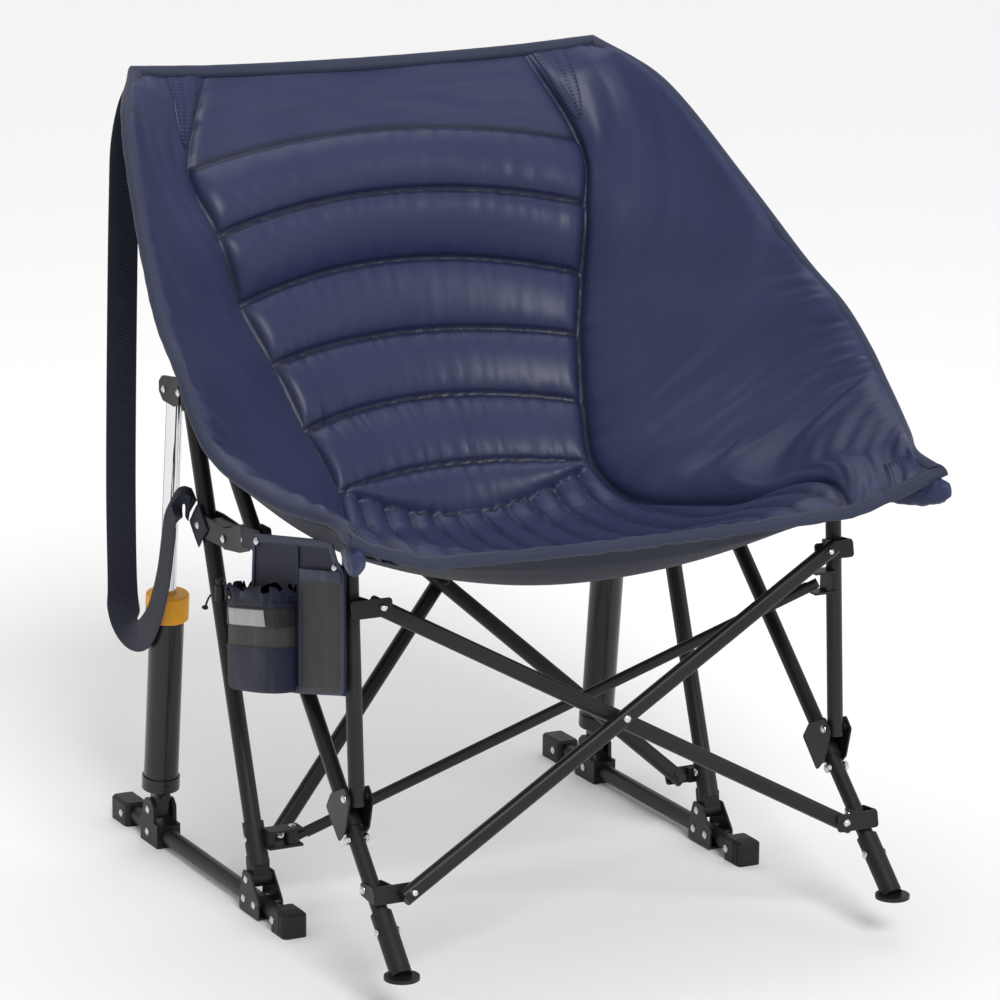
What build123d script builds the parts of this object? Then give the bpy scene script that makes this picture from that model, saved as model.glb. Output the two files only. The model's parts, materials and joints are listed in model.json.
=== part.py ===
"""Folding camp rocking chair: steel tube frame, two shock struts, bucket seat, organiser, carry strap.

Millimetres. X runs across the chair, Y runs front to back and grows towards the back, Z is up from the floor.
Every side piece is built once for side = -1 (suffix l) and once for side = +1 (suffix r).
"""

import math
import os

from build123d import *

os.makedirs("parts", exist_ok=True)

# ---- driving sizes -------------------------------------------------------------------------------
RAIL_X = 295.0          # rail, rear leg and shock lie in one plane per side
RAIL_R = 10.0
RAIL_Z = 14.5
RAIL_FRONT = -90.0
RAIL_BACK = 391.0
PIVOT_Z = 41.5          # rocking pivot, at Y = 0
LEG_R = 10.0
LEG_LEAN = 0.3638       # rear leg: Y gained per mm of height
LEG_Y0 = -21.6
TUBE_R = 9.0            # front leg, front post and back post
DIAG_SLOPE = 1.0326     # front leg: Y gained per mm of height
DIAG_Y0 = -449.8
DIAG_X0 = 309.1
DIAG_TILT = -0.0339     # front leg leans inwards as it rises
POST_X = 301.9
POST_Y0 = -286.4
POST_LEAN = 0.0681
HUB_Y = -271.0          # lower pivot of the front post
HUB_Z = 216.3
BACK_X0 = 271.0         # back post, at height 555
BACK_TILT = 0.0392
SIDE_Y = 60.0           # rivet that joins the rear leg and the front leg
SIDE_Z = 428.0
SHOCK_Y = 284.0
SHOCK_Z = 42.5
SHOCK_TOP_Y = 228.0
SHOCK_TOP_Z = 567.0
STOP_Z = 170.0
FRONT_HALF = 275.0      # front cross: pivots at +-275
FRONT_TOP = 428.5
FRONT_LOW = 127.5
FRONT_LEAN = math.radians(12.0)
REAR_LOW = Vector(258.0, 24.0, 80.6)
REAR_MID = Vector(0.0, 131.3, 321.6)
REAR_TOP = Vector(250.0, 235.2, 555.1)
CROSS_W = 18.0          # cross tubes are flat-oval: 18 wide, 14 deep
CROSS_D = 14.0
PIN_R = 2.5
PIN_GAP = 0.06
WALL = 1.5
BRACE_FOOT = (-257.0, -8.0, 85.0)       # the brace rod's two pivots
BRACE_HEAD = (277.0, -266.0, 389.0)
PANEL_X = -322.0         # organiser, on the left side only
POUCH_DEEP = 28.0
LOCK = (-342.0, -2.0, 384.0)
STRAP_WIDE = 38.0

SIDES = {-1: "l", 1: "r"}


# ---- places on the tubes -------------------------------------------------------------------------
def leg_at(side, z):
    return Vector(side * RAIL_X, LEG_Y0 + LEG_LEAN * z, z)


def diag_at(side, z):
    return Vector(side * (DIAG_X0 + DIAG_TILT * z), DIAG_Y0 + DIAG_SLOPE * z, z)


def post_at(side, z):
    return Vector(side * POST_X, POST_Y0 + POST_LEAN * z, z)


def back_at(side, z):
    return Vector(side * (BACK_X0 + BACK_TILT * (z - 555.0)), 3.55 + LEG_LEAN * z, z)


def unit(vector):
    return vector * (1.0 / vector.length)


FRONT_UP = Vector(0, math.sin(FRONT_LEAN), math.cos(FRONT_LEAN))
FRONT_NORMAL = Vector(0, -math.cos(FRONT_LEAN), math.sin(FRONT_LEAN))
REAR_UP = unit(Vector(0, REAR_TOP.Y - REAR_LOW.Y, REAR_TOP.Z - REAR_LOW.Z))
REAR_NORMAL = Vector(0, -REAR_UP.Z, REAR_UP.Y)
FRONT_MID = Vector(0, -312.0, 278.0)


def front_plane_point(x, z):
    """Point of the front cross plane at height z."""
    return Vector(x, FRONT_MID.Y + (z - FRONT_MID.Z) * math.tan(FRONT_LEAN), z)


# ---- building blocks, used inside a part ---------------------------------------------------------
def bar(p, q, radius, mode=Mode.ADD):
    """Round bar from p to q."""
    axis = q - p
    with Locations(Plane(origin=p, z_dir=axis).location):
        Cylinder(radius, axis.length, align=(Align.CENTER, Align.CENTER, Align.MIN), mode=mode)


def pipe(p, q, radius, wall=WALL):
    """Open round tube from p to q."""
    axis = q - p
    with BuildSketch(Plane(origin=p, z_dir=axis), mode=Mode.PRIVATE) as ring:
        Circle(radius)
        Circle(radius - wall, mode=Mode.SUBTRACT)
    extrude(ring.sketch, amount=axis.length)


def bore(centre, axis, radius, half):
    """Round hole along axis, half each way from centre."""
    step = unit(axis) * half
    bar(centre - step, centre + step, radius, Mode.SUBTRACT)


def plate(points, x_from, x_to):
    """Plate parallel to the YZ plane. points are (y, z) corners."""
    low = min(x_from, x_to)
    with BuildSketch(Plane.YZ.offset(low), mode=Mode.PRIVATE) as face:
        with BuildLine():
            Polyline(*points, close=True)
        make_face()
        fillet(face.vertices(), 3.0)
    extrude(face.sketch, amount=abs(x_to - x_from))


def block(x0, x1, y0, y1, z0, z1, mode=Mode.ADD):
    """Box between two corners."""
    with Locations(((x0 + x1) / 2, (y0 + y1) / 2, (z0 + z1) / 2)):
        Box(abs(x1 - x0), abs(y1 - y0), abs(z1 - z0), mode=mode)


def rivet(centre, axis, half, radius=PIN_R, head=4.6, rise=2.4):
    """Rivet with a domed head at both ends. half is the distance from centre to the underside of a head."""
    step = unit(axis)
    any_side = step.cross(Vector(0.13, 0.57, 0.81))
    with BuildSketch(Plane(origin=centre, x_dir=step, z_dir=any_side), mode=Mode.PRIVATE) as section:
        with BuildLine():
            Polyline(
                (-half - rise, 0),
                (-half - rise, head * 0.55),
                (-half - rise * 0.45, head),
                (-half, head),
                (-half, radius),
                (half, radius),
                (half, head),
                (half + rise * 0.45, head),
                (half + rise, head * 0.55),
                (half + rise, 0),
                close=True,
            )
        make_face()
    revolve(section.sketch, axis=Axis(origin=centre, direction=step))


def head_only(seat, outward, radius=4.6, rise=2.2):
    """Rivet head that stands on a surface at seat."""
    bar(seat, seat + outward * rise, radius)


def cross_tube(low, high, middle, offset, normal):
    """Flat-oval cross tube, offset along normal, solid at both ends, with holes at its ends and middle."""
    along = unit(high - low)
    shift = normal * offset
    start = low + shift - along * 11.0
    length = (high - low).length + 22.0
    flat = Plane(origin=start, x_dir=along.cross(normal), z_dir=along)
    with BuildSketch(flat, mode=Mode.PRIVATE) as section:
        RectangleRounded(CROSS_W, CROSS_D, 5.5)
    extrude(section.sketch, amount=length)
    with BuildSketch(flat.offset(24.0), mode=Mode.PRIVATE) as hollow:
        RectangleRounded(CROSS_W - 2 * WALL, CROSS_D - 2 * WALL, 4.0)
    extrude(hollow.sketch, amount=length - 48.0, mode=Mode.SUBTRACT)
    for place in (low, middle, high):
        bore(place + shift, normal, PIN_R + PIN_GAP, CROSS_D)


def end_pin(end, outward, face):
    """Rivet fixed in a cross tube's end, with its head on the tube's outer face."""
    bar(end + outward * 2.3, end + outward * face, PIN_R + PIN_GAP)
    head_only(end + outward * face, outward)


def save(part, label):
    part.part.label = label
    export_step(part.part, "parts/" + label + ".step")


# ---- one side of the frame -----------------------------------------------------------------------
X_AXIS = Vector(1, 0, 0)


def build_base(side):
    tag = SIDES[side]
    x = side * RAIL_X
    rivets = [(-70.0, RAIL_Z, 15.1), (366.0, RAIL_Z, 15.1), (286.0, RAIL_Z, 15.1)]
    cheek_rivets = [(-21.0, 17.0, 15.6), (7.0, 17.0, 15.6)]

    with BuildPart() as rail:
        pipe(Vector(x, RAIL_FRONT, RAIL_Z), Vector(x, RAIL_BACK, RAIL_Z), RAIL_R)
        for y, z, _ in rivets + cheek_rivets:
            bore(Vector(x, y, z), X_AXIS, PIN_R + PIN_GAP, 14)
    save(rail, "rail_" + tag)

    with BuildPart() as caps:
        for y0, y1 in ((-101, -62), (352, 400)):
            block(x - 15, x + 15, y0, y1, 0, 29)
        fillet(caps.edges().filter_by(Axis.Z), 6.0)
        chamfer(caps.faces().sort_by(Axis.Z)[-2:].edges(), 3.0)
        for hollow0, hollow1 in ((RAIL_FRONT, -60), (350, RAIL_BACK)):
            bar(Vector(x, hollow0, RAIL_Z), Vector(x, hollow1, RAIL_Z), RAIL_R + 0.05, Mode.SUBTRACT)
        for y in (-96.0, -91.5, -87.0):
            block(x - 16, x + 16, y, y + 1.8, 27, 31, Mode.SUBTRACT)
            for edge in (-1, 1):
                block(x + edge * 13.6, x + edge * 16, y, y + 1.8, 3, 31, Mode.SUBTRACT)
        for y in (-70.0, 366.0):
            bore(Vector(x, y, RAIL_Z), X_AXIS, PIN_R + PIN_GAP, 17)
    save(caps, "rail_caps_" + tag)

    # U-shaped steel cheek: two triangular plates and a web that runs under the rail
    with BuildPart() as cheeks:
        outline = [(-33, 1.6), (20, 1.6), (19, 24), (9, 51), (-9, 51), (-33, 23)]
        for edge in (-1, 1):
            plate(outline, x + edge * 13.2, x + edge * 15.5)
        block(x - 14, x + 14, -30, 17, 1.6, 4.0)
        for y, z, _ in cheek_rivets + [(0, PIVOT_Z, 0)]:
            bore(Vector(x, y, z), X_AXIS, PIN_R + PIN_GAP, 17)
    save(cheeks, "cheeks_" + tag)

    # moulded saddle on the rail with two lugs for the shock
    lug = [(268, 20), (302, 20), (300, 48), (292, 55.5), (276, 55.5), (269, 48)]
    with BuildPart() as saddle:
        block(x - 15, x + 15, 258, 308, 0, 29)
        for edge in (-1, 1):
            plate(lug, x + edge * 10.6, x + edge * 15)
        bar(Vector(x, 250, RAIL_Z), Vector(x, 316, RAIL_Z), RAIL_R + 0.05, Mode.SUBTRACT)
        bore(Vector(x, 286, RAIL_Z), X_AXIS, PIN_R + PIN_GAP, 17)
        bore(Vector(x, SHOCK_Y, SHOCK_Z), X_AXIS, PIN_R + PIN_GAP, 17)
        block(x - 10.6, x + 10.6, 255, 311, 26.6, 35, Mode.SUBTRACT)
    save(saddle, "saddle_" + tag)

    with BuildPart() as fasteners:
        for y, z, half in rivets + cheek_rivets:
            rivet(Vector(x, y, z), X_AXIS, half)
        rivet(Vector(x, 0, PIVOT_Z), X_AXIS, 15.6)
        rivet(Vector(x, SHOCK_Y, SHOCK_Z), X_AXIS, 15.1)
    save(fasteners, "rail_rivets_" + tag)


def build_rear_leg(side):
    tag = SIDES[side]
    x = side * RAIL_X
    boot_rivet = leg_at(side, 86)
    clip_rivet = leg_at(side, 427)
    cap_rivet = leg_at(side, 571)
    pivot = Vector(x, SIDE_Y, SIDE_Z)

    with BuildPart() as leg:
        pipe(leg_at(side, 64), leg_at(side, 580), LEG_R)
        for place in (boot_rivet, clip_rivet, cap_rivet):
            bore(place, X_AXIS, PIN_R + PIN_GAP, 13)
    save(leg, "rear_leg_" + tag)

    # moulded boot: pivot lug, socket for the leg, ear for the rear cross, jaw for the brace rod
    ear = Vector(side * REAR_LOW.X, REAR_LOW.Y, REAR_LOW.Z)
    with BuildPart() as boot:
        bar(leg_at(side, 57), leg_at(side, 104), 12.4)
        bar(Vector(x - 12.8, 0, PIVOT_Z), Vector(x + 12.8, 0, PIVOT_Z), 10.0)
        plate([(-9.5, PIVOT_Z - 3), (9.5, PIVOT_Z - 3), (14, 66), (-8, 66)], x - 10, x + 10)
        inner = x - side * 8
        foot = leg_at(side, 83)
        with BuildSketch(Plane(origin=ear, x_dir=X_AXIS, z_dir=REAR_NORMAL)):
            with Locations((side * (RAIL_X - REAR_LOW.X - 9) / 2, 0)):
                RectangleRounded(RAIL_X - REAR_LOW.X + 9, 20, 4)
        extrude(amount=1.5, both=True)
        block(inner, inner - side * 10.5, foot.Y + 7, 23, 72, 90)
        if side < 0:
            jaw = Vector(*BRACE_FOOT)
            for level in (jaw.Z - 7, jaw.Z + 12):
                block(x + 6, jaw.X + 10, jaw.Y - 10, jaw.Y + 10, level, level + 3)
            block(x + 6, x + 15, jaw.Y - 6, jaw.Y + 12, jaw.Z - 6, jaw.Z + 14)
            bore(jaw + Vector(0, 0, 4), Vector(0, 0, 1), PIN_R + PIN_GAP, 14)
        bar(leg_at(side, 64), leg_at(side, 108), LEG_R + 0.05, Mode.SUBTRACT)
        bore(boot_rivet, X_AXIS, PIN_R + PIN_GAP, 15)
        bore(Vector(x, 0, PIVOT_Z), X_AXIS, PIN_R + PIN_GAP, 15)
        bore(ear, REAR_NORMAL, PIN_R + PIN_GAP, 5)
    save(boot, "leg_boot_" + tag)

    # moulded cap: closes the leg, guides the back post, holds the shock's top
    centre = Vector(x, SHOCK_TOP_Y, SHOCK_TOP_Z)
    with BuildPart() as cap:
        bar(leg_at(side, 552), leg_at(side, 588), 13.0)
        for edge in (-1, 1):
            arm = [(186, 556), (204, 552), (232, 553), (243, 562)]
            arm += [(243, 574), (234, 582), (204, 586), (188, 584)]
            plate(arm, x + edge * 10.6, x + edge * 14.4)
        bar(back_at(side, 567), back_at(side, 592), 12.6)
        block(x - side * 13, x - side * 22, 192, 208, 568, 584)
        slot = back_at(side, 580) + Vector(-side * 4.2, 22, 0)
        run = unit(back_at(side, 1) - back_at(side, 0))
        with Locations(Plane(origin=slot, x_dir=X_AXIS, z_dir=run).location):
            Box(8.4, 40, 60, mode=Mode.SUBTRACT)
        bar(leg_at(side, 548), leg_at(side, 582), LEG_R + 0.05, Mode.SUBTRACT)
        bar(back_at(side, 560), back_at(side, 600), TUBE_R + PIN_GAP, Mode.SUBTRACT)
        bore(cap_rivet, X_AXIS, PIN_R + PIN_GAP, 16)
        bore(centre, X_AXIS, PIN_R + PIN_GAP, 18)
    save(cap, "leg_cap_" + tag)

    with BuildPart() as clip:
        back = clip_rivet.Y + 13
        outline = [(back, 416), (back, 440), (118, 441), (66, 438)]
        outline += [(49, 432), (49, 422), (66, 416), (118, 414)]
        for edge in (-1, 1):
            plate(outline, x + edge * 10.2, x + edge * 12.2)
        block(x - 11, x + 11, 74, 116, 435.6, 437.6)
        bore(clip_rivet, X_AXIS, PIN_R + PIN_GAP, 14)
        bore(pivot, X_AXIS, PIN_R + PIN_GAP, 14)
    save(clip, "leg_clip_" + tag)


def build_leg_rivets():
    with BuildPart() as fasteners:
        for side in SIDES:
            x = side * RAIL_X
            rivet(leg_at(side, 86), X_AXIS, 12.5)
            rivet(leg_at(side, 571), X_AXIS, 14.5)
            rivet(Vector(x, SIDE_Y, SIDE_Z), X_AXIS, 15.4)
            rivet(Vector(x, SHOCK_TOP_Y, SHOCK_TOP_Z), X_AXIS, 14.5)
        rivet(leg_at(1, 427), X_AXIS, 12.3)
        rivet(leg_at(-1, 427) - X_AXIS * 1.05, X_AXIS, 13.35)
        ear = Vector(-REAR_LOW.X, REAR_LOW.Y, REAR_LOW.Z)
        rivet(ear + REAR_NORMAL * -7.2, REAR_NORMAL, 9.3)
        rivet(Vector(*BRACE_FOOT) + Vector(0, 0, 4), Vector(0, 0, 1), 11.05)
    save(fasteners, "leg_rivets")


def build_front_leg_rivets():
    with BuildPart() as fasteners:
        for side in SIDES:
            stop = diag_at(side, STOP_Z)
            clip = diag_at(side, 440)
            rivet(diag_at(side, 90.6), X_AXIS, 12.2)
            rivet(stop, X_AXIS, 12.9)
            for edge in (-1, 1):
                bar(stop + X_AXIS * edge * 9.3, stop + X_AXIS * edge * 12.95, 5.5)
            rivet(Vector(side * RAIL_X, clip.Y, clip.Z), X_AXIS, 15.0)
    save(fasteners, "front_leg_rivets")


def build_shock(side):
    tag = SIDES[side]
    base = Vector(side * RAIL_X, SHOCK_Y, SHOCK_Z)
    top = Vector(side * RAIL_X, SHOCK_TOP_Y, SHOCK_TOP_Z)
    up = unit(top - base)
    reach = (top - base).length

    def at(distance):
        return base + up * distance

    with BuildPart() as cylinder:
        bar(at(42.8), at(241.6), 20.5)
        bar(at(60.0), at(250.0), 18.5, Mode.SUBTRACT)
    save(cylinder, "shock_cylinder_" + tag)

    with BuildPart() as foot:
        bar(at(26.0), at(42.8), 22.6)
        fillet(foot.edges().group_by(Axis.Z)[0], 2.0)
        with BuildSketch(Plane(origin=at(-9.0), x_dir=X_AXIS, z_dir=up)):
            RectangleRounded(20.0, 20.0, 4.0)
        extrude(amount=36.0)
        bore(base, X_AXIS, PIN_R + PIN_GAP, 14)
        front = Vector(0, -up.Z, up.Y)
        head_only(at(17.0) + front * 10.0, front, 4.0, 1.6)
        head_only(at(34.0) + front * 22.4, front, 3.4, 1.6)
    save(foot, "shock_foot_" + tag)

    with BuildPart() as collar:
        bar(at(241.7), at(275.0), 25.5)
        fillet(collar.edges().filter_by(GeomType.CIRCLE), 3.0)
        bar(at(240.0), at(280.0), 10.0 + PIN_GAP, Mode.SUBTRACT)
    save(collar, "shock_collar_" + tag)

    with BuildPart() as rod:
        bar(at(172.0), at(reach - 17.0), 10.0)
        bar(at(168.0), at(172.5), 18.0)
        with BuildSketch(Plane(origin=at(reach - 19.0), x_dir=X_AXIS, z_dir=up)):
            RectangleRounded(18.0, 20.0, 3.0)
        extrude(amount=28.0)
        bore(top, X_AXIS, 6.8, 14)
    save(rod, "shock_rod_" + tag)


def build_front_leg(side):
    tag = SIDES[side]
    foot_rivet = diag_at(side, 90.6)
    ear_rivet = diag_at(side, FRONT_LOW)
    stop_rivet = diag_at(side, STOP_Z)
    clip_rivet = diag_at(side, 440)

    with BuildPart() as tube:
        pipe(diag_at(side, 57), diag_at(side, 572), TUBE_R)
        bar(diag_at(side, 570), diag_at(side, 576), TUBE_R)
        for place in (foot_rivet, ear_rivet, stop_rivet, clip_rivet):
            bore(place, X_AXIS, PIN_R + PIN_GAP, 12)
    save(tube, "front_leg_" + tag)

    with BuildPart() as foot:
        bar(diag_at(side, 56.5), diag_at(side, 106), 12.0)
        sole = Vector(side * 307.3, -395.0, 50.0)
        bar(sole, sole + Vector(0, 0, 4), 19.5)
        bar(sole + Vector(0, 0, 3.5), diag_at(side, 62), 11.5)
        bar(diag_at(side, 57), diag_at(side, 110), TUBE_R + 0.05, Mode.SUBTRACT)
        bore(foot_rivet, X_AXIS, PIN_R + PIN_GAP, 14)
    save(foot, "front_foot_" + tag)

    with BuildPart() as clip:
        outline = [(-9, 430), (-4, 452), (20, 452), (60, 440), (71, 433), (71, 423), (60, 416), (16, 422)]
        for edge in (-1, 1):
            plate(outline, side * RAIL_X + edge * 12.8, side * RAIL_X + edge * 14.9)
        block(side * RAIL_X - 13, side * RAIL_X + 13, 26.5, 40, 446.4, 448.4)
        bore(clip_rivet, X_AXIS, PIN_R + PIN_GAP, 17)
        bore(Vector(side * RAIL_X, SIDE_Y, SIDE_Z), X_AXIS, PIN_R + PIN_GAP, 17)
    save(clip, "front_leg_clip_" + tag)


def build_hub(side):
    tag = SIDES[side]
    hub = Vector(side * POST_X, HUB_Y, HUB_Z)
    along = unit(Vector(0, DIAG_SLOPE, 1))
    out = Vector(0, -along.Z, along.Y)
    foot_z = HUB_Z - 22.2
    axis_point = diag_at(side, foot_z)

    def corner(t, n):
        return (axis_point.Y + along.Y * t + out.Y * n, axis_point.Z + along.Z * t + out.Z * n)

    with BuildPart() as bracket:
        outline = [corner(*c) for c in ((-27, -15.5), (18, -15.5), (22, 6), (8, 40), (-9, 40), (-27, 8))]
        for edge in (-1, 1):
            plate(outline, hub.X + edge * 12.9, hub.X + edge * 15.0)
        web_from = axis_point - along * 20
        with BuildSketch(Plane(origin=web_from + out * -14.7, x_dir=X_AXIS, z_dir=along)):
            Rectangle(26.5, 2.2)
        extrude(amount=36.0)
        rivet(hub, X_AXIS, 15.0)
        for edge in (-1, 1):
            bar(hub + X_AXIS * edge * 9.5, hub + X_AXIS * edge * 13.0, 5.0)
    save(bracket, "hub_bracket_" + tag)

    with BuildPart() as sleeve:
        low = diag_at(side, foot_z - 15)
        high = diag_at(side, foot_z + 17)
        bar(low, high, 11.6)
        bar(diag_at(side, foot_z - 25), diag_at(side, foot_z + 30), TUBE_R + PIN_GAP, Mode.SUBTRACT)
    save(sleeve, "hub_sleeve_" + tag)


def build_post(side):
    tag = SIDES[side]
    low = post_at(side, HUB_Z - 9)
    knee = post_at(side, 492)
    tip = Vector(side * 356, -380, 508)
    with BuildPart() as post:
        with BuildLine() as path:
            FilletPolyline(low, knee, tip, radius=34)
        with BuildSketch(Plane(origin=low, z_dir=knee - low)):
            Circle(TUBE_R)
            Circle(TUBE_R - WALL, mode=Mode.SUBTRACT)
        sweep(path=path.wires()[0])
        ahead = unit(tip - knee)
        bar(tip - ahead * 3, tip + ahead * 3, TUBE_R)
        bore(Vector(side * POST_X, HUB_Y, HUB_Z), X_AXIS, PIN_R + PIN_GAP, 12)
        bore(post_at(side, FRONT_TOP), X_AXIS, PIN_R + PIN_GAP, 12)
        if side > 0:
            jaw = post_at(side, BRACE_HEAD[2])
            for level in (jaw.Z - 13.5, jaw.Z + 10.0):
                block(jaw.X - 31, jaw.X - 4, jaw.Y - 12, jaw.Y + 8, level, level + 2.5)
            block(jaw.X - 14, jaw.X - 7, jaw.Y - 9, jaw.Y + 7, jaw.Z - 13, jaw.Z + 12)
            bar(post_at(side, 350), post_at(side, 420), TUBE_R - WALL, Mode.SUBTRACT)
    save(post, "front_post_" + tag)


def cross_ear(side, at, pivot_at, offset, label, pivot_pin):
    """U-shaped steel bracket on a tube, with a flat ear that carries a cross tube's end."""
    tab_in, tab_out = 9.9, 11.9
    plane_out = FRONT_NORMAL
    with BuildPart() as ear:
        centre = Vector(0, pivot_at.Y, pivot_at.Z)
        for edge in (-1, 1):
            x0 = at.X + edge * tab_in
            x1 = at.X + edge * tab_out
            reach = pivot_at - Vector(pivot_at.X, 0, 0)
            outline = [
                (at.Y + 6, at.Z - 7),
                (at.Y + 6, at.Z + 7),
                (reach.Y + FRONT_UP.Y * 10, reach.Z + FRONT_UP.Z * 10),
                (reach.Y - FRONT_UP.Y * 10, reach.Z - FRONT_UP.Z * 10),
            ]
            plate(outline, x0, x1)
        outer = abs(at.X) + tab_out
        inner = abs(pivot_at.X) - 11.0
        with BuildSketch(Plane(origin=centre, x_dir=X_AXIS, z_dir=plane_out)):
            with Locations((side * (outer + inner) / 2, 0)):
                RectangleRounded(outer - inner, 20.0, 4.0)
        extrude(amount=1.25, both=True)
        rivet(at, X_AXIS, 12.0)
        if pivot_pin:
            grip = offset + math.copysign(CROSS_D / 2 + 0.35, offset)
            start = pivot_at - plane_out * math.copysign(3.4, offset)
            end = pivot_at + plane_out * grip
            bar(start, end, PIN_R)
            bar(end, end + plane_out * math.copysign(2.2, offset), 4.6)
            bar(start, start + plane_out * math.copysign(2.2, offset), 4.6)
        else:
            rise = plane_out * -math.copysign(3.4, offset)
            bar(pivot_at, pivot_at + rise, 4.6)
    save(ear, label)


def build_ears(side):
    tag = SIDES[side]
    # the tube that starts high on the left runs behind the ears, the other in front
    upper_offset = -8.6 if side < 0 else 8.6
    lower_offset = 8.6 if side < 0 else -8.6
    upper = front_plane_point(side * FRONT_HALF, FRONT_TOP)
    lower = front_plane_point(side * FRONT_HALF, FRONT_LOW)
    cross_ear(side, post_at(side, FRONT_TOP), upper, upper_offset, "upper_ear_" + tag, True)
    cross_ear(side, diag_at(side, FRONT_LOW), lower, lower_offset, "lower_ear_" + tag, False)


def build_back_post(side):
    tag = SIDES[side]
    ear = Vector(side * REAR_TOP.X, REAR_TOP.Y, REAR_TOP.Z)
    grip = back_at(side, 550)
    with BuildPart() as post:
        block(grip.X - side * 1, grip.X - side * 7, grip.Y + 4, ear.Y, 542, 557)
        with BuildSketch(Plane(origin=ear, x_dir=X_AXIS, z_dir=REAR_NORMAL)):
            with Locations((side * 5.0, 0)):
                RectangleRounded(32.0, 20.0, 4.0)
        extrude(amount=1.5, both=True)
        bar(back_at(side, 536), back_at(side, 914), TUBE_R)
        bar(back_at(side, 530), back_at(side, 908), TUBE_R - WALL, Mode.SUBTRACT)
    save(post, "back_post_" + tag)


# ---- the two crosses and the brace rod -----------------------------------------------------------
def build_crosses():
    a_high = front_plane_point(-FRONT_HALF, FRONT_TOP)
    a_low = front_plane_point(FRONT_HALF, FRONT_LOW)
    b_high = front_plane_point(FRONT_HALF, FRONT_TOP)
    b_low = front_plane_point(-FRONT_HALF, FRONT_LOW)
    centre = front_plane_point(0, (FRONT_TOP + FRONT_LOW) / 2)

    with BuildPart() as tube_a:
        cross_tube(a_low, a_high, centre, -8.6, FRONT_NORMAL)
        end_pin(a_low, -FRONT_NORMAL, 15.6)
    save(tube_a, "front_cross_a")

    with BuildPart() as tube_b:
        cross_tube(b_low, b_high, centre, 8.6, FRONT_NORMAL)
        end_pin(b_low, FRONT_NORMAL, 15.6)
        rivet(centre, FRONT_NORMAL, 15.9)
        bar(centre - FRONT_NORMAL * 1.2, centre + FRONT_NORMAL * 2.2, 6.0)
    save(tube_b, "front_cross_b")

    low_l = Vector(-REAR_LOW.X, REAR_LOW.Y, REAR_LOW.Z)
    top_l = Vector(-REAR_TOP.X, REAR_TOP.Y, REAR_TOP.Z)
    with BuildPart() as tube_c:
        cross_tube(REAR_LOW, top_l, REAR_MID, 9.0, REAR_NORMAL)
        rivet(REAR_MID, REAR_NORMAL, 16.3)
        bar(REAR_MID - REAR_NORMAL * 1.6, REAR_MID + REAR_NORMAL * 2.2, 6.0)
        end_pin(REAR_LOW, REAR_NORMAL, 16.0)
        end_pin(top_l, REAR_NORMAL, 16.0)
    save(tube_c, "rear_cross_c")

    with BuildPart() as tube_d:
        cross_tube(low_l, REAR_TOP, REAR_MID, -9.0, REAR_NORMAL)
        end_pin(REAR_TOP, -REAR_NORMAL, 16.0)
    save(tube_d, "rear_cross_d")

    # thin brace rod from the left rear boot to the right front post, flattened at both ends
    start = Vector(*BRACE_FOOT)
    end = Vector(*BRACE_HEAD)
    along = unit(end - start)
    with BuildPart() as rod:
        bar(start + along * 18, end - along * 12, 6.5)
        bar(start + Vector(0, 0, -3.8), start + Vector(0, 0, 11.5), 9.0)
        bar(start + along * 3, start + along * 20, 5.0)
        bar(end - along * 16, end, 5.5)
        bore(start, Vector(0, 0, 1), PIN_R + PIN_GAP, 12)
    save(rod, "brace_rod")


# ---- soft pieces, as plain closed solids ---------------------------------------------------------
# Rows run from the top edge of the back down to the seat and forward to the front hem.
# Each row: rim point, seam point, middle point, as (x, y, z) on the right half.
SEAT_ROWS = [
    ((298, 314, 918), (202, 322, 914), (0, 326, 910)),
    ((349, 236, 882), (256, 272, 812), (0, 292, 836)),
    ((389, 105, 780), (241, 229, 742), (0, 259, 769)),
    ((412, 0, 702), (224, 207, 663), (0, 245, 690)),
    ((421, -72, 662), (200, 168, 597), (0, 210, 610)),
    ((426, -123, 621), (181, 121, 527), (0, 160, 541)),
    ((424, -160, 592), (170, 66, 463), (0, 98, 472)),
    ((414, -203, 572), (198, 0, 432), (0, 36, 414)),
    ((391, -266, 556), (250, -145, 456), (0, -120, 408)),
    ((364, -330, 549), (290, -262, 508), (0, -262, 446)),
    ((362, -385, 535), (260, -360, 497), (0, -348, 487)),
]
SEAT_THICK = 14.0
STATIONS = (0.0, 0.25, 0.5, 0.75, 1.0)


def seat_row(row):
    """Points of one row from the left rim to the right rim."""
    rim, seam, middle = (Vector(*p) for p in row)
    half = []
    for t in STATIONS:
        p = rim * (1 - t) + seam * t
        sag = 4 * t * (1 - t)
        half.append(p + Vector(0.10, 0.30, -0.55) * (14 * sag))
    for t in STATIONS[1:]:
        x = seam.X * (1 - t)
        bend = (x / seam.X) ** 2
        half.append(Vector(x, middle.Y + (seam.Y - middle.Y) * bend, middle.Z + (seam.Z - middle.Z) * bend))
    left = [Vector(-p.X, p.Y, p.Z) for p in half]
    return left + half[-2::-1]


def lift(grid, amount):
    """Second layer of the shell, on the sitter's side."""
    rows, columns = len(grid), len(grid[0])
    moved = []
    for i in range(rows):
        line = []
        for j in range(columns):
            down = grid[min(i + 1, rows - 1)][j] - grid[max(i - 1, 0)][j]
            across = grid[i][min(j + 1, columns - 1)] - grid[i][max(j - 1, 0)]
            line.append(grid[i][j] + unit(across.cross(down) * -1) * amount)
        moved.append(line)
    return moved


def facet(*points):
    return Face(Wire.make_polygon(points, close=True))


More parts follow.
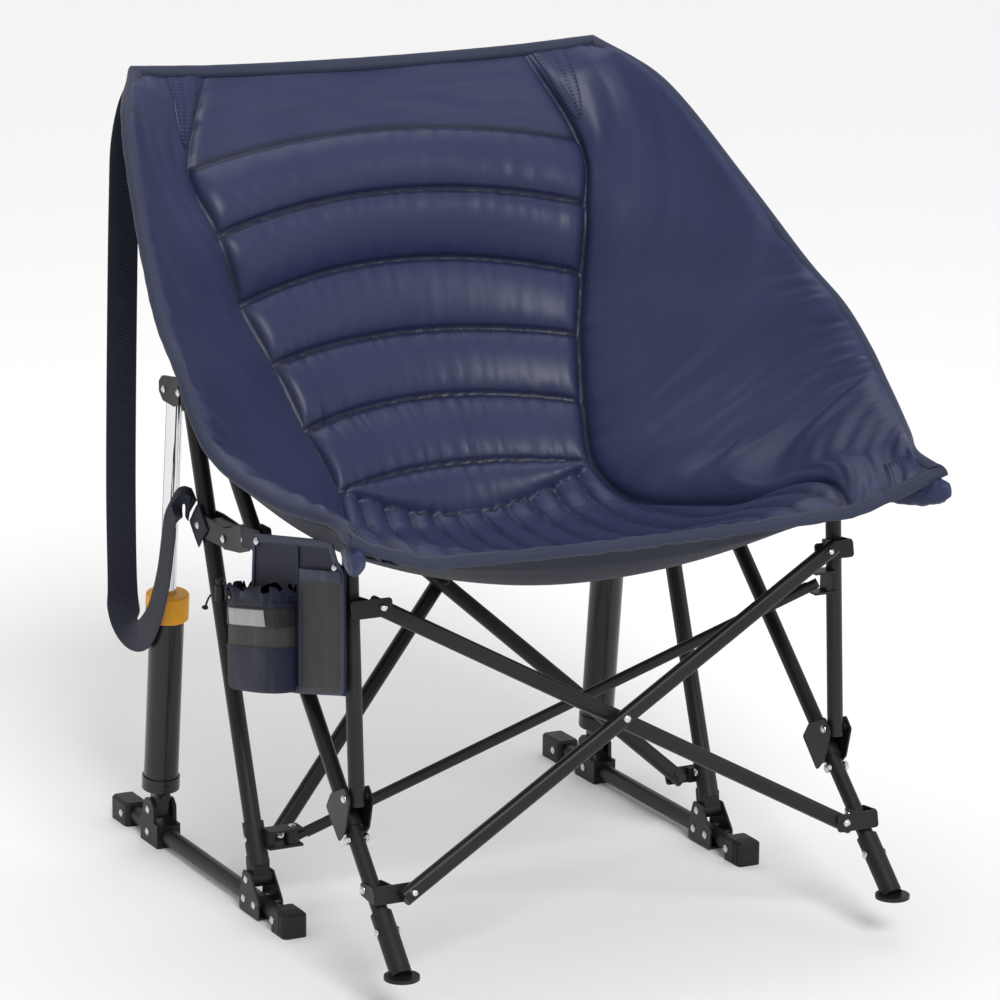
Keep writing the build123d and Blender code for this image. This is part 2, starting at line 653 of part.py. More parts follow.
def closed_shell(outer, inner):
    """Closed solid between two grids of points that share one layout."""
    rows, columns = len(outer), len(outer[0])
    faces = []
    for layer in (outer, inner):
        for i in range(rows - 1):
            for j in range(columns - 1):
                a, b = layer[i][j], layer[i][j + 1]
                c, d = layer[i + 1][j + 1], layer[i + 1][j]
                faces.append(facet(a, b, c))
                faces.append(facet(a, c, d))
    edge = [(0, j) for j in range(columns)]
    edge += [(i, columns - 1) for i in range(1, rows)]
    edge += [(rows - 1, j) for j in range(columns - 2, -1, -1)]
    edge += [(i, 0) for i in range(rows - 2, 0, -1)]
    for k, (i, j) in enumerate(edge):
        m, n = edge[(k + 1) % len(edge)]
        faces.append(facet(outer[i][j], outer[m][n], inner[m][n]))
        faces.append(facet(outer[i][j], inner[m][n], inner[i][j]))
    return Solid(Shell(faces))


def build_seat():
    outer = [seat_row(row) for row in SEAT_ROWS]
    shell = closed_shell(outer, lift(outer, SEAT_THICK))
    with BuildPart() as seat:
        add(shell)
    save(seat, "seat_bucket")


def build_organiser():
    # panel that hangs between the front leg's clip and the front post, outside of both
    with BuildPart() as panel:
        outline = [(-52, 462), (-248, 500), (-260, 480), (-283, 476), (-283, 336)]
        outline += [(-170, 307), (5, 272), (-8, 388), (-50, 398)]
        plate(outline, PANEL_X, PANEL_X + 2.4)
    save(panel, "organiser_panel")

    # flat pocket and gathered pouch, both open at the top
    with BuildPart() as pocket:
        plate([(-173, 452), (-280, 474), (-280, 339), (-173, 311)], PANEL_X - 8.2, PANEL_X - 0.2)
        low = [(-174.6, 500), (-278.4, 500), (-278.4, 341), (-174.6, 313.4)]
        with BuildSketch(Plane.YZ.offset(PANEL_X - 6.8)):
            with BuildLine():
                Polyline(*low, close=True)
            make_face()
        extrude(amount=6.8, mode=Mode.SUBTRACT)
    save(pocket, "phone_pocket")

    with BuildPart() as pouch:
        plate([(-15, 277), (-165, 309), (-165, 415), (-12, 383)], PANEL_X - POUCH_DEEP, PANEL_X - 0.2)
        with BuildSketch(Plane.YZ.offset(PANEL_X - POUCH_DEEP + 2.2)):
            with BuildLine():
                Polyline((-17.4, 280), (-162.8, 311), (-162.8, 450), (-14.4, 450), close=True)
            make_face()
        extrude(amount=POUCH_DEEP - 4.6, mode=Mode.SUBTRACT)
    save(pouch, "cup_pouch")

    lock = Vector(*LOCK)
    with BuildPart() as body:
        bar(lock + Vector(0, 0, -9), lock + Vector(0, 0, 9), 6.0)
        bar(lock + Vector(0, 0, -2), lock + Vector(0, 0, 12), 4.06, Mode.SUBTRACT)
    save(body, "cord_lock")

    with BuildPart() as button:
        bar(lock + Vector(0, 0, 2), lock + Vector(0, 0, 15), 4.0)
        bar(lock + Vector(0, 0, 13.5), lock + Vector(0, 0, 16), 5.4)
    save(button, "cord_lock_button")

    with BuildPart() as cord:
        start = lock + Vector(0, 6.3, -5)
        with BuildLine() as path:
            FilletPolyline(start, start + Vector(-2, 16, 2), start + Vector(-4, 26, -18), radius=7)
        with BuildSketch(Plane(origin=start, z_dir=Vector(-2, 16, 2))):
            Circle(1.2)
        sweep(path=path.wires()[0])
    save(cord, "drawstring")


def build_strap():
    # webbing carry strap: hangs from the back's left corner and turns up to the left rear leg
    flat = Vector(1, 0, 0)
    tab_edge = Vector(0, math.sqrt(0.5), -math.sqrt(0.5))
    upright = Vector(0, math.sqrt(0.5), math.sqrt(0.5))
    stations = [
        ((-305, 348, 905), flat),
        ((-310, 345, 700), flat),
        ((-317, 341, 420), flat),
        ((-318, 337, 310), flat),
        ((-321, 326, 279), Vector(0.90, -0.33, 0.28)),
        ((-326, 294, 262), Vector(0.35, -0.42, 0.84)),
        ((-327.2, 256, 268), Vector(0.0, -0.35, 0.94)),
        ((-327, 222, 299), upright),
        ((-326, 196, 350), Vector(0, 0.93, 0.36)),
        ((-324, 185, 400), Vector(0, 1.0, 0.10)),
        ((-322, 180, 428), Vector(0, 0.96, -0.28)),
        ((-316, 164, 448), Vector(0, 0.85, 0.40)),
        ((-312.4, 150, 443), tab_edge),
    ]
    front, back = [], []
    for middle, across in stations:
        front.append([Vector(*middle) - across * STRAP_WIDE / 2, Vector(*middle) + across * STRAP_WIDE / 2])
    for pair in lift(front, 1.8):
        back.append(pair)
    shell = closed_shell(front, back)
    with BuildPart() as strap:
        add(shell)
    save(strap, "carry_strap")

    # square tab of the same webbing, set on its corner and held by the rivet of the leg's clip
    with BuildPart() as tab:
        centre = leg_at(-1, 427)
        half = STRAP_WIDE * math.sqrt(0.5)
        corners = [(centre.Y, centre.Z + half), (centre.Y + half, centre.Z)]
        corners += [(centre.Y, centre.Z - half), (centre.Y - half, centre.Z)]
        plate(corners, -RAIL_X - 14.3, -RAIL_X - 12.3)
        bore(Vector(-RAIL_X - 13, centre.Y, centre.Z), X_AXIS, PIN_R + PIN_GAP, 4)
    save(tab, "strap_tab")


for side_sign in SIDES:
    build_base(side_sign)
    build_rear_leg(side_sign)
    build_shock(side_sign)
    build_front_leg(side_sign)
    build_hub(side_sign)
    build_post(side_sign)
    build_ears(side_sign)
    build_back_post(side_sign)
build_leg_rivets()
build_front_leg_rivets()
build_crosses()
build_seat()
build_organiser()
build_strap()
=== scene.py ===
import json
import math

import bpy
import bmesh
import numpy as np
from mathutils import Matrix, Vector, noise


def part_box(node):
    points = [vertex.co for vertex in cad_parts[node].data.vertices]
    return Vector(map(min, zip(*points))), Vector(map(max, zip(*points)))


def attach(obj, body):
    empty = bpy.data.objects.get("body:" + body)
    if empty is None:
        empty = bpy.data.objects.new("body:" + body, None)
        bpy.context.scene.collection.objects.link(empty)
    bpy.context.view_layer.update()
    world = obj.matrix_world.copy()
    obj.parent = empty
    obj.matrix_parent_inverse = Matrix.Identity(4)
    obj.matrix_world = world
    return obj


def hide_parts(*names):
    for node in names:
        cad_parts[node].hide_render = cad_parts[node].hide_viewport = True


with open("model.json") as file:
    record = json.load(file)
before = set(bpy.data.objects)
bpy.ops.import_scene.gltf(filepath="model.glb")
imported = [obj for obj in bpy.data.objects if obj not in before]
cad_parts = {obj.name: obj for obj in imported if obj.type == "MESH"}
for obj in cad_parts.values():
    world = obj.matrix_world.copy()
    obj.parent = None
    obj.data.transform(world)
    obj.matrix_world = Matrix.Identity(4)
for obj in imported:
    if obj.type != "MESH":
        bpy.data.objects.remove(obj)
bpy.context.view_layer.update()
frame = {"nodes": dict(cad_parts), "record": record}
nodes = frame["nodes"]
MM = 0.001

# ---- camera: set first ---------------------------------------------------------------------------
AZIMUTH = math.radians(-27.46)
ELEVATION = math.radians(14.11)
ROLL = math.radians(0.56)
CAMERA_AWAY = 5.382
scene = bpy.context.scene
cam_data = bpy.data.cameras.new("camera")
cam_data.sensor_width = 36.0
cam_data.lens = 169.5
cam_data.clip_start = 0.1
cam_data.clip_end = 60.0
camera = bpy.data.objects.new("camera", cam_data)
scene.collection.objects.link(camera)
scene.camera = camera
look_at = Vector((0.0, -0.0199, 0.4584))
along_floor = math.cos(ELEVATION)
back = Vector((math.sin(AZIMUTH) * along_floor, -math.cos(AZIMUTH) * along_floor, math.sin(ELEVATION)))
right = Vector((math.cos(AZIMUTH), math.sin(AZIMUTH), 0.0))
up = back.cross(right)
right_rolled = right * math.cos(ROLL) + up * math.sin(ROLL)
up_rolled = up * math.cos(ROLL) - right * math.sin(ROLL)
place = look_at + back * CAMERA_AWAY
camera.matrix_world = Matrix((
    (right_rolled.x, up_rolled.x, back.x, place.x),
    (right_rolled.y, up_rolled.y, back.y, place.y),
    (right_rolled.z, up_rolled.z, back.z, place.z),
    (0, 0, 0, 1),
))
scene.render.resolution_x = 1000
scene.render.resolution_y = 1000


# ---- materials -----------------------------------------------------------------------------------
def new_material(name, colour, rough, metal=0.0, sheen=0.0, coat=0.0):
    mat = bpy.data.materials.new(name)
    mat.use_nodes = True
    bsdf = mat.node_tree.nodes["Principled BSDF"]
    bsdf.inputs["Base Color"].default_value = (*colour, 1.0)
    bsdf.inputs["Roughness"].default_value = rough
    bsdf.inputs["Metallic"].default_value = metal
    bsdf.inputs["Sheen Weight"].default_value = sheen
    bsdf.inputs["Coat Weight"].default_value = coat
    return mat, mat.node_tree, bsdf


def add_node(tree, kind, **inputs):
    node = tree.nodes.new(kind)
    for key, value in inputs.items():
        node.inputs[key.replace("_", " ")].default_value = value
    return node


def coordinates(tree, source="Object"):
    return tree.nodes.new("ShaderNodeTexCoord").outputs[source]


def noise_node(tree, vector, scale, detail=3.0, rough=0.55):
    node = add_node(tree, "ShaderNodeTexNoise", Scale=scale, Detail=detail, Roughness=rough)
    tree.links.new(vector, node.inputs["Vector"])
    return node.outputs["Fac"]


def ramp(tree, value, low, high, out_low, out_high):
    node = add_node(tree, "ShaderNodeMapRange")
    node.inputs["From Min"].default_value = low
    node.inputs["From Max"].default_value = high
    node.inputs["To Min"].default_value = out_low
    node.inputs["To Max"].default_value = out_high
    tree.links.new(value, node.inputs["Value"])
    return node.outputs["Result"]


def bump(tree, bsdf, height, strength, distance, after=None):
    node = add_node(tree, "ShaderNodeBump", Strength=strength, Distance=distance)
    tree.links.new(height, node.inputs["Height"])
    if after is not None:
        tree.links.new(after, node.inputs["Normal"])
    tree.links.new(node.outputs["Normal"], bsdf.inputs["Normal"])
    return node.outputs["Normal"]


def vary_colour(tree, bsdf, value, dark, light):
    mix = tree.nodes.new("ShaderNodeMix")
    mix.data_type = "RGBA"
    mix.inputs["A"].default_value = (*dark, 1)
    mix.inputs["B"].default_value = (*light, 1)
    tree.links.new(value, mix.inputs["Factor"])
    tree.links.new(mix.outputs["Result"], bsdf.inputs["Base Color"])
    return mix.outputs["Result"]


def paint(name, colour, rough, grain, coat=0.0, metal=0.0):
    """Sprayed or moulded surface with a fine orange-peel grain and slight wear in its gloss."""
    mat, tree, bsdf = new_material(name, colour, rough, metal, coat=coat)
    bsdf.inputs["Specular IOR Level"].default_value = 0.32
    where = coordinates(tree)
    fine = noise_node(tree, where, grain, 2.0)
    broad = noise_node(tree, where, 9.0, 4.0)
    tree.links.new(ramp(tree, broad, 0.3, 0.7, rough - 0.06, rough + 0.08), bsdf.inputs["Roughness"])
    bump(tree, bsdf, fine, 0.25, 0.0004)
    vary_colour(tree, bsdf, broad, [c * 0.85 for c in colour], [c * 1.2 + 0.002 for c in colour])
    return mat


def weave(name, colour, rough, pitch, depth, sheen=0.3, twill=False, spec=0.3):
    """Woven cloth: crossing threads from the metric UV map, soft fading in its colour."""
    mat, tree, bsdf = new_material(name, colour, rough, sheen=sheen * 0.25)
    bsdf.inputs["Sheen Roughness"].default_value = 0.45
    bsdf.inputs["Specular IOR Level"].default_value = spec
    where = coordinates(tree, "UV")
    height = None
    for direction in ("X", "Y"):
        wave = add_node(tree, "ShaderNodeTexWave", Scale=1.0 / pitch / 20 * 6.2832, Distortion=0.4,
                        Detail=1.0)
        wave.bands_direction = "DIAGONAL" if twill and direction == "X" else direction
        tree.links.new(where, wave.inputs["Vector"])
        if height is None:
            height = wave.outputs["Fac"]
        else:
            add = tree.nodes.new("ShaderNodeMath")
            add.operation = "MULTIPLY"
            tree.links.new(height, add.inputs[0])
            tree.links.new(wave.outputs["Fac"], add.inputs[1])
            height = add.outputs["Value"]
    broad = noise_node(tree, coordinates(tree), 14.0, 5.0)
    creases = noise_node(tree, coordinates(tree), 60.0, 4.0)
    first = bump(tree, bsdf, creases, 0.18, 0.0015)
    bump(tree, bsdf, height, 0.5, depth, first)
    vary_colour(tree, bsdf, broad, [c * 0.86 for c in colour], [c * 1.16 for c in colour])
    return mat


def satin(name, colour):
    """Shiny quilt cloth: fine crosswise threads, small creases that run towards the stitching, and painted
    shade darkening its colour along the quilting lines and seams.
    """
    mat, tree, bsdf = new_material(name, colour, 0.44, sheen=0.02)
    bsdf.inputs["Sheen Roughness"].default_value = 0.35
    bsdf.inputs["Specular IOR Level"].default_value = 0.26
    bsdf.inputs["Anisotropic"].default_value = 0.35
    tangent = tree.nodes.new("ShaderNodeTangent")
    tangent.direction_type = "UV_MAP"
    tangent.uv_map = "cloth"
    tree.links.new(tangent.outputs["Tangent"], bsdf.inputs["Tangent"])
    where = coordinates(tree, "UV")
    stretch = tree.nodes.new("ShaderNodeMapping")
    stretch.inputs["Scale"].default_value = (1.0, 0.16, 1.0)
    tree.links.new(where, stretch.inputs["Vector"])
    folds = noise_node(tree, stretch.outputs["Vector"], 75.0, 4.0, 0.6)
    threads = add_node(tree, "ShaderNodeTexWave", Scale=260.0, Distortion=0.6, Detail=1.0)
    threads.bands_direction = "Y"
    tree.links.new(where, threads.inputs["Vector"])
    broad = noise_node(tree, coordinates(tree), 7.0, 4.0)
    edge = tree.nodes.new("ShaderNodeAttribute")
    edge.attribute_name = "pucker"
    deep = tree.nodes.new("ShaderNodeMath")
    deep.operation = "MULTIPLY"
    tree.links.new(folds, deep.inputs[0])
    tree.links.new(ramp(tree, edge.outputs["Fac"], 0.0, 1.0, 0.0, 1.0), deep.inputs[1])
    first = bump(tree, bsdf, deep.outputs["Value"], 0.40, 0.004)
    bump(tree, bsdf, threads.outputs["Fac"], 0.12, 0.0002, first)
    tree.links.new(ramp(tree, broad, 0.3, 0.7, 0.33, 0.45), bsdf.inputs["Roughness"])
    cloth = vary_colour(tree, bsdf, broad, [c * 0.88 for c in colour], [c * 1.12 for c in colour])
    # painted shade: the colour is mixed towards a quarter of itself along the quilting lines and side seams,
    # weighted by a point attribute of the seat
    groove_shade = tree.nodes.new("ShaderNodeAttribute")
    groove_shade.attribute_name = "groove_shade"
    shade = tree.nodes.new("ShaderNodeMix")
    shade.data_type = "RGBA"
    shade.inputs["B"].default_value = (*[c * 0.25 for c in colour], 1)
    tree.links.new(cloth, shade.inputs["A"])
    tree.links.new(groove_shade.outputs["Fac"], shade.inputs["Factor"])
    tree.links.new(shade.outputs["Result"], bsdf.inputs["Base Color"])
    return mat


def mesh_cloth(name, colour):
    """Open mesh: round holes on a staggered grid, cut out by transparency."""
    mat, tree, bsdf = new_material(name, colour, 0.6)
    where = coordinates(tree, "UV")
    cells = add_node(tree, "ShaderNodeTexVoronoi", Scale=520.0, Randomness=0.12)
    tree.links.new(where, cells.inputs["Vector"])
    hole = ramp(tree, cells.outputs["Distance"], 0.28, 0.36, 0.15, 1.0)
    tree.links.new(hole, bsdf.inputs["Alpha"])
    bump(tree, bsdf, cells.outputs["Distance"], 0.4, 0.0004)
    return mat


def metal(name, colour, rough, grain):
    mat, tree, bsdf = new_material(name, colour, rough, 1.0)
    fine = noise_node(tree, coordinates(tree), grain, 3.0)
    tree.links.new(ramp(tree, fine, 0.3, 0.7, rough * 0.7, rough * 1.5), bsdf.inputs["Roughness"])
    bump(tree, bsdf, fine, 0.05, 0.0003)
    return mat


QUILT = (0.021, 0.028, 0.074)
MATS = {
    "powder_coat": paint("powder_coat", (0.008, 0.0075, 0.0072), 0.38, 900.0),
    "black_plastic": paint("black_plastic", (0.007, 0.0067, 0.0066), 0.46, 500.0),
    "shock_black": paint("shock_black", (0.008, 0.008, 0.009), 0.30, 250.0, coat=0.3),
    "collar_yellow": paint("collar_yellow", (0.80, 0.36, 0.012), 0.36, 300.0),
    "rivet_steel": metal("rivet_steel", (0.66, 0.67, 0.69), 0.22, 400.0),
    "rod_chrome": metal("rod_chrome", (0.78, 0.79, 0.80), 0.10, 60.0),
    "navy_quilt": satin("navy_quilt", QUILT),
    "navy_cloth": weave("navy_cloth", (0.022, 0.027, 0.066), 0.62, 0.0011, 0.0004, 0.2),
    "binding": weave("binding", (0.020, 0.026, 0.056), 0.66, 0.0016, 0.0006, 0.35, True),
    "lining": weave("lining", (0.010, 0.012, 0.026), 0.60, 0.0012, 0.0004, 0.15),
    "grey_mesh": mesh_cloth("grey_mesh", (0.030, 0.031, 0.029)),
    "navy_webbing": weave("navy_webbing", (0.016, 0.018, 0.033), 0.62, 0.0023, 0.0011, 0.2, True, 0.25),
    "black_cord": weave("black_cord", (0.008, 0.008, 0.009), 0.55, 0.0012, 0.0005, 0.2, True),
    "thread": new_material("thread", (0.021, 0.026, 0.062), 0.6, sheen=0.15)[0],
    "organiser_cloth": weave("organiser_cloth", (0.010, 0.012, 0.029), 0.58, 0.0008, 0.0003, 0.1, spec=0.2),
    "edge_tape": weave("edge_tape", (0.022, 0.028, 0.064), 0.60, 0.0012, 0.0004, 0.35, True),
    "black_webbing": weave("black_webbing", (0.006, 0.006, 0.009), 0.60, 0.0020, 0.0008, 0.2, True),
    "reflective": paint("reflective", (0.30, 0.31, 0.30), 0.32, 900.0, metal=0.4),
}
MATS["thread"].node_tree.nodes["Principled BSDF"].inputs["Specular IOR Level"].default_value = 0.10
slot_of = {s["node"]: s["material_slot"] for s in frame["record"]["subparts"]}
for name, obj in nodes.items():
    obj.data.materials.clear()
    obj.data.materials.append(MATS[slot_of[name]])


# ---- mesh helpers --------------------------------------------------------------------------------
def link(mesh, name, material, smooth=True):
    obj = bpy.data.objects.new(name, mesh)
    scene.collection.objects.link(obj)
    mesh.materials.append(MATS[material])
    if smooth:
        mesh.polygons.foreach_set("use_smooth", [True] * len(mesh.polygons))
    return obj


def grid_mesh(name, points, uv=None, material="navy_quilt", wrap=False):
    """Quad mesh from an array of points, rows by columns by 3. wrap joins the last column to the first."""
    rows, columns = points.shape[:2]
    across = columns if wrap else columns - 1
    faces = []
    corner_uv = []
    for i in range(rows - 1):
        for j in range(across):
            k = (j + 1) % columns
            faces.append((i * columns + j, i * columns + k, (i + 1) * columns + k, (i + 1) * columns + j))
            if uv is not None:
                beside = j + 1 if wrap else k
                corner_uv += [uv[i, j], uv[i, beside], uv[i + 1, beside], uv[i + 1, j]]
    mesh = bpy.data.meshes.new(name)
    mesh.from_pydata(points.reshape(-1, 3).tolist(), [], faces)
    if uv is not None:
        layer = mesh.uv_layers.new(name="cloth")
        layer.data.foreach_set("uv", np.array(corner_uv, float).ravel())
    mesh.update()
    return link(mesh, name, material)


def smooth_line(points, count):
    """Even samples along a Catmull-Rom line through points (any number of values per point)."""
    p = np.array(points, float)
    p = np.vstack([2 * p[0] - p[1], p, 2 * p[-1] - p[-2]])
    t = np.linspace(0, len(p) - 3, count)
    i = np.minimum(t.astype(int), len(p) - 4)
    f = (t - i)[:, None]
    a, b, c, d = p[i], p[i + 1], p[i + 2], p[i + 3]
    return 0.5 * (2 * b + (c - a) * f
                  + (2 * a - 5 * b + 4 * c - d) * f ** 2
                  + (3 * b - a - 3 * c + d) * f ** 3)


def unit(v):
    length = np.linalg.norm(v, axis=-1, keepdims=True)
    return v / np.maximum(length, 1e-12)


def ribbon(name, line, across, normal, half_wide, half_thick, material, sides=10, wobble=0.0, seed=0.0):
    """Flattened tube along a line; across and normal are unit vectors at each point."""
    line, across, normal = (np.asarray(a, float) for a in (line, across, normal))
    count = len(line)
    angle = np.linspace(0, 2 * np.pi, sides + 1)[:-1]
    run = np.concatenate([[0], np.cumsum(np.linalg.norm(np.diff(line, axis=0), axis=1))])
    grow = np.ones(count)
    if wobble:
        grow += wobble * np.array([noise.noise(Vector((r * 45 + seed, seed, 0))) for r in run])
    points = np.zeros((count, sides, 3))
    for k, a in enumerate(angle):
        c = np.sign(np.cos(a)) * abs(np.cos(a)) ** 0.7
        s = np.sign(np.sin(a)) * abs(np.sin(a)) ** 0.7
        points[:, k] = line + across * (half_wide * c) + normal * (half_thick * s * grow)[:, None]
    uv = np.zeros((count, sides + 1, 2))
    uv[:, :, 0] = np.linspace(0, 2 * half_wide * 2, sides + 1)[None, :]
    uv[:, :, 1] = run[:, None]
    obj = grid_mesh(name, points, uv, material, wrap=True)
    bm = bmesh.new()
    bm.from_mesh(obj.data)
    for row in (0, count - 1):
        bm.verts.ensure_lookup_table()
        loop = [bm.verts[row * sides + k] for k in range(sides)]
        bm.faces.new(loop if row else loop[::-1])
    bm.to_mesh(obj.data)
    bm.free()
    return obj


def stitches(name, lines, long=0.0032, wide=0.0007, gap=0.0016, material="thread"):
    """Rows of small thread stitches. Each line is (points, normals)."""
    verts, faces = [], []
    for points, normals in lines:
        points, normals = np.asarray(points, float), np.asarray(normals, float)
        run = np.concatenate([[0], np.cumsum(np.linalg.norm(np.diff(points, axis=0), axis=1))])
        starts = np.arange(0, run[-1] - long, long + gap)
        for s in starts:
            a = np.array([np.interp(s, run, points[:, k]) for k in range(3)])
            b = np.array([np.interp(s + long, run, points[:, k]) for k in range(3)])
            n = unit(np.array([np.interp(s, run, normals[:, k]) for k in range(3)]))
            side = np.cross(unit(b - a), n)
            mid = (a + b) / 2
            base = len(verts)
            verts += [a, b, mid + side * wide, mid - side * wide, mid + n * wide * 0.9, mid - n * wide * 0.9]
            for q in ((0, 2, 4), (2, 1, 4), (1, 3, 4), (3, 0, 4), (2, 0, 5), (1, 2, 5), (3, 1, 5), (0, 3, 5)):
                faces.append([base + k for k in q])
    mesh = bpy.data.meshes.new(name)
    mesh.from_pydata([list(v) for v in verts], [], faces)
    mesh.update()
    return link(mesh, name, material)


# ---- drawstring of the pouch ---------------------------------------------------------------------
# It leaves the cord lock, turns over and hangs, with a knot at its end.
CORD_ROUTE = [(-0.342, 0.0043, 0.379), (-0.344, 0.0213, 0.3835), (-0.346, 0.0303, 0.3595)]
CORD_THICK = 0.0024
cord_curve = bpy.data.curves.new("drawstring_cord", "CURVE")
cord_curve.dimensions = "3D"
cord_spline = cord_curve.splines.new("NURBS")
cord_spline.points.add(len(CORD_ROUTE) - 1)
for point, place_on_route in zip(cord_spline.points, CORD_ROUTE):
    point.co = (*place_on_route, 1.0)
cord_spline.order_u = 3
cord_spline.use_endpoint_u = True
cord_spline.resolution_u = 24
cord_curve.bevel_depth = CORD_THICK / 2
cord_curve.bevel_resolution = 4
cord_curve.use_fill_caps = True
cord_curve.materials.append(MATS["black_cord"])
cord = bpy.data.objects.new("drawstring_cord", cord_curve)
scene.collection.objects.link(cord)


def knot_mesh(name, centre, size, tube, sides=10, count=90):
    """Small overhand knot: a tube along a trefoil."""
    t = np.linspace(0, 2 * np.pi, count + 1)[:-1]
    line = np.stack([np.sin(t) + 2 * np.sin(2 * t), np.cos(t) - 2 * np.cos(2 * t), -1.4 * np.sin(3 * t)], -1)
    line = np.array(centre) + line / 3.0 * size
    ahead = unit(np.roll(line, -1, 0) - np.roll(line, 1, 0))
    side_way = unit(np.cross(ahead, [0.3, 0.2, 0.9]))
    other = np.cross(ahead, side_way)
    angle = np.linspace(0, 2 * np.pi, sides + 1)[:-1]
    rings = line[:, None] + tube * (np.cos(angle)[None, :, None] * side_way[:, None]
                                    + np.sin(angle)[None, :, None] * other[:, None])
    rings = np.vstack([rings, rings[:1]])
    return grid_mesh(name, rings, None, "black_cord", wrap=True)


knot = knot_mesh("drawstring_knot", CORD_ROUTE[-1], 0.0030, 0.0011)
for piece in (cord, knot):
    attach(piece, "chair")
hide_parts("drawstring")

# ---- seat: base surface --------------------------------------------------------------------------
# Rows from the top edge of the back, down to the seat and forward to the front hem.
# Rows 1 to 6 lie on the quilting lines of the back. Each row: rim, side seam, middle, on the right half.
ROWS = [
    ((304, 333, 923), (206, 338, 919), (0, 342, 915)),
    ((351, 238, 882), (257, 278, 810), (0, 298, 837)),
    ((389, 105, 780), (241, 229, 740), (0, 259, 770)),
    ((412, 0, 701), (224, 207, 661), (0, 247, 690)),
    ((421, -72, 661), (200, 168, 595), (0, 213, 609)),
    ((426, -123, 620), (181, 121, 525), (0, 166, 539)),
    ((424, -160, 591), (166, 64, 462), (0, 100, 472)),
    ((414, -203, 571), (190, -10, 432), (0, 40, 412)),
    ((391, -268, 553), (240, -145, 455), (0, -120, 408)),
    ((362, -332, 546), (285, -262, 504), (0, -262, 448)),
    ((366, -387, 535), (258, -366, 494), (0, -350, 487)),
]
SEAM = 0.5
rim_line = np.array([r[0] for r in ROWS], float)
seam_line = np.array([r[1] for r in ROWS], float)
middle_line = np.array([r[2] for r in ROWS], float)


def along_rows(line, v):
    p = np.vstack([2 * line[0] - line[1], line, 2 * line[-1] - line[-2]])
    v = np.clip(v, 0, len(line) - 1)
    i = np.minimum(v.astype(int), len(line) - 2)
    f = (v - i)[..., None]
    a, b, c, d = p[i], p[i + 1], p[i + 2], p[i + 3]
    return 0.5 * (2 * b + (c - a) * f
                  + (2 * a - 5 * b + 4 * c - d) * f ** 2
                  + (3 * b - a - 3 * c + d) * f ** 3)


def surface(u, v):
    """Point of the seat's upper face.

    u runs -1 to 1 from rim to rim, v runs 0 to 10 from the top edge to the hem.
    """
    u, v = np.broadcast_arrays(np.asarray(u, float), np.asarray(v, float))
    side = np.where(u < 0, -1.0, 1.0)
    s = np.abs(u)
    rim, seam, mid = along_rows(rim_line, v), along_rows(seam_line, v), along_rows(middle_line, v)
    inner = np.clip(s / SEAM, 0, 1)[..., None]
    centre = mid + (seam - mid) * inner ** 2
    centre[..., 0] = seam[..., 0] * inner[..., 0]
    t = np.clip((s - SEAM) / (1 - SEAM), 0, 1)[..., None]
    wing = seam + (rim - seam) * t
    slack = np.clip(v / 2, 0, 1) * (4.0 + 12.0 * np.clip((9.0 - v) / 2.5, 0, 1))
    belly = 4 * t * (1 - t) * slack[..., None]
    wing = wing + belly * np.array([0.25, 0.25, -0.55])
    p = np.where(s[..., None] <= SEAM, centre, wing)
    p = p * np.stack([side, np.ones_like(side), np.ones_like(side)], -1)
    return p * MM


def normals_of(points):
    du = np.gradient(points, axis=1)
    dv = np.gradient(points, axis=0)
    return unit(np.cross(dv, du))


# the side seams fall on a column of the grid, and the quilting lines of the back on a row
HALF = 60
STEP = 22
columns = np.concatenate([np.linspace(-1, -SEAM, HALF + 1), np.linspace(-SEAM, SEAM, 2 * HALF + 1)[1:],
                          np.linspace(SEAM, 1, HALF + 1)[1:]])
rows = np.linspace(0, 10, 10 * STEP + 1)
U, V = np.meshgrid(columns, rows)
base = surface(U, V)
normal = normals_of(base)
if normal[len(rows) // 3, len(columns) // 2, 1] > 0:
    normal = -normal

# ---- seat: quilting ------------------------------------------------------------------------------
inner_s = np.clip(np.abs(U) / SEAM, 0, 1)
# the back panel ends on a line that dips in the middle
back_end = 6.0 + 0.80 * (1 - inner_s ** 2)
on_middle = np.abs(U) <= SEAM + 1e-6
plan_x = np.abs(base[..., 0]) / MM
plan_y = base[..., 1] / MM
CHANNEL = 33.0
HEM_START = 9.75        # v where the seat's channels end
TOP_PUFF, BACK_PUFF, SEAT_PUFF = 2.5, 15.0, 8.0
LINING_BELOW = 5.0
seat_phase = 0.5 + plan_x / (CHANNEL * (1.0 - plan_y / 1600.0))
back_phase = np.where(V < 6, V, 6 + (V - 6) / np.maximum(back_end - 6, 1e-3))
is_back = on_middle & (V <= back_end)
is_seat = on_middle & ~is_back & (V < HEM_START)
phase = np.where(is_back, back_phase, seat_phase)
near = np.abs(phase - np.round(phase))
grow = np.clip(near / 0.5, 0, 1)
puff = np.sqrt(np.clip(1 - (1 - grow) ** 2, 0, 1))
depth = np.where(is_back & (V > 1), BACK_PUFF, 0.0)
depth = np.where(is_back & (V <= 1), TOP_PUFF, depth)
depth = np.where(is_seat, SEAT_PUFF, depth)
# puffs end at the side seams and at the hem
to_seam = np.clip((1 - inner_s) / 0.10, 0, 1)
fade = np.sqrt(1 - (1 - to_seam) ** 2)
fade = np.where(is_seat, fade * np.clip((HEM_START - V) / 0.3, 0, 1), fade)
height = puff * depth * fade
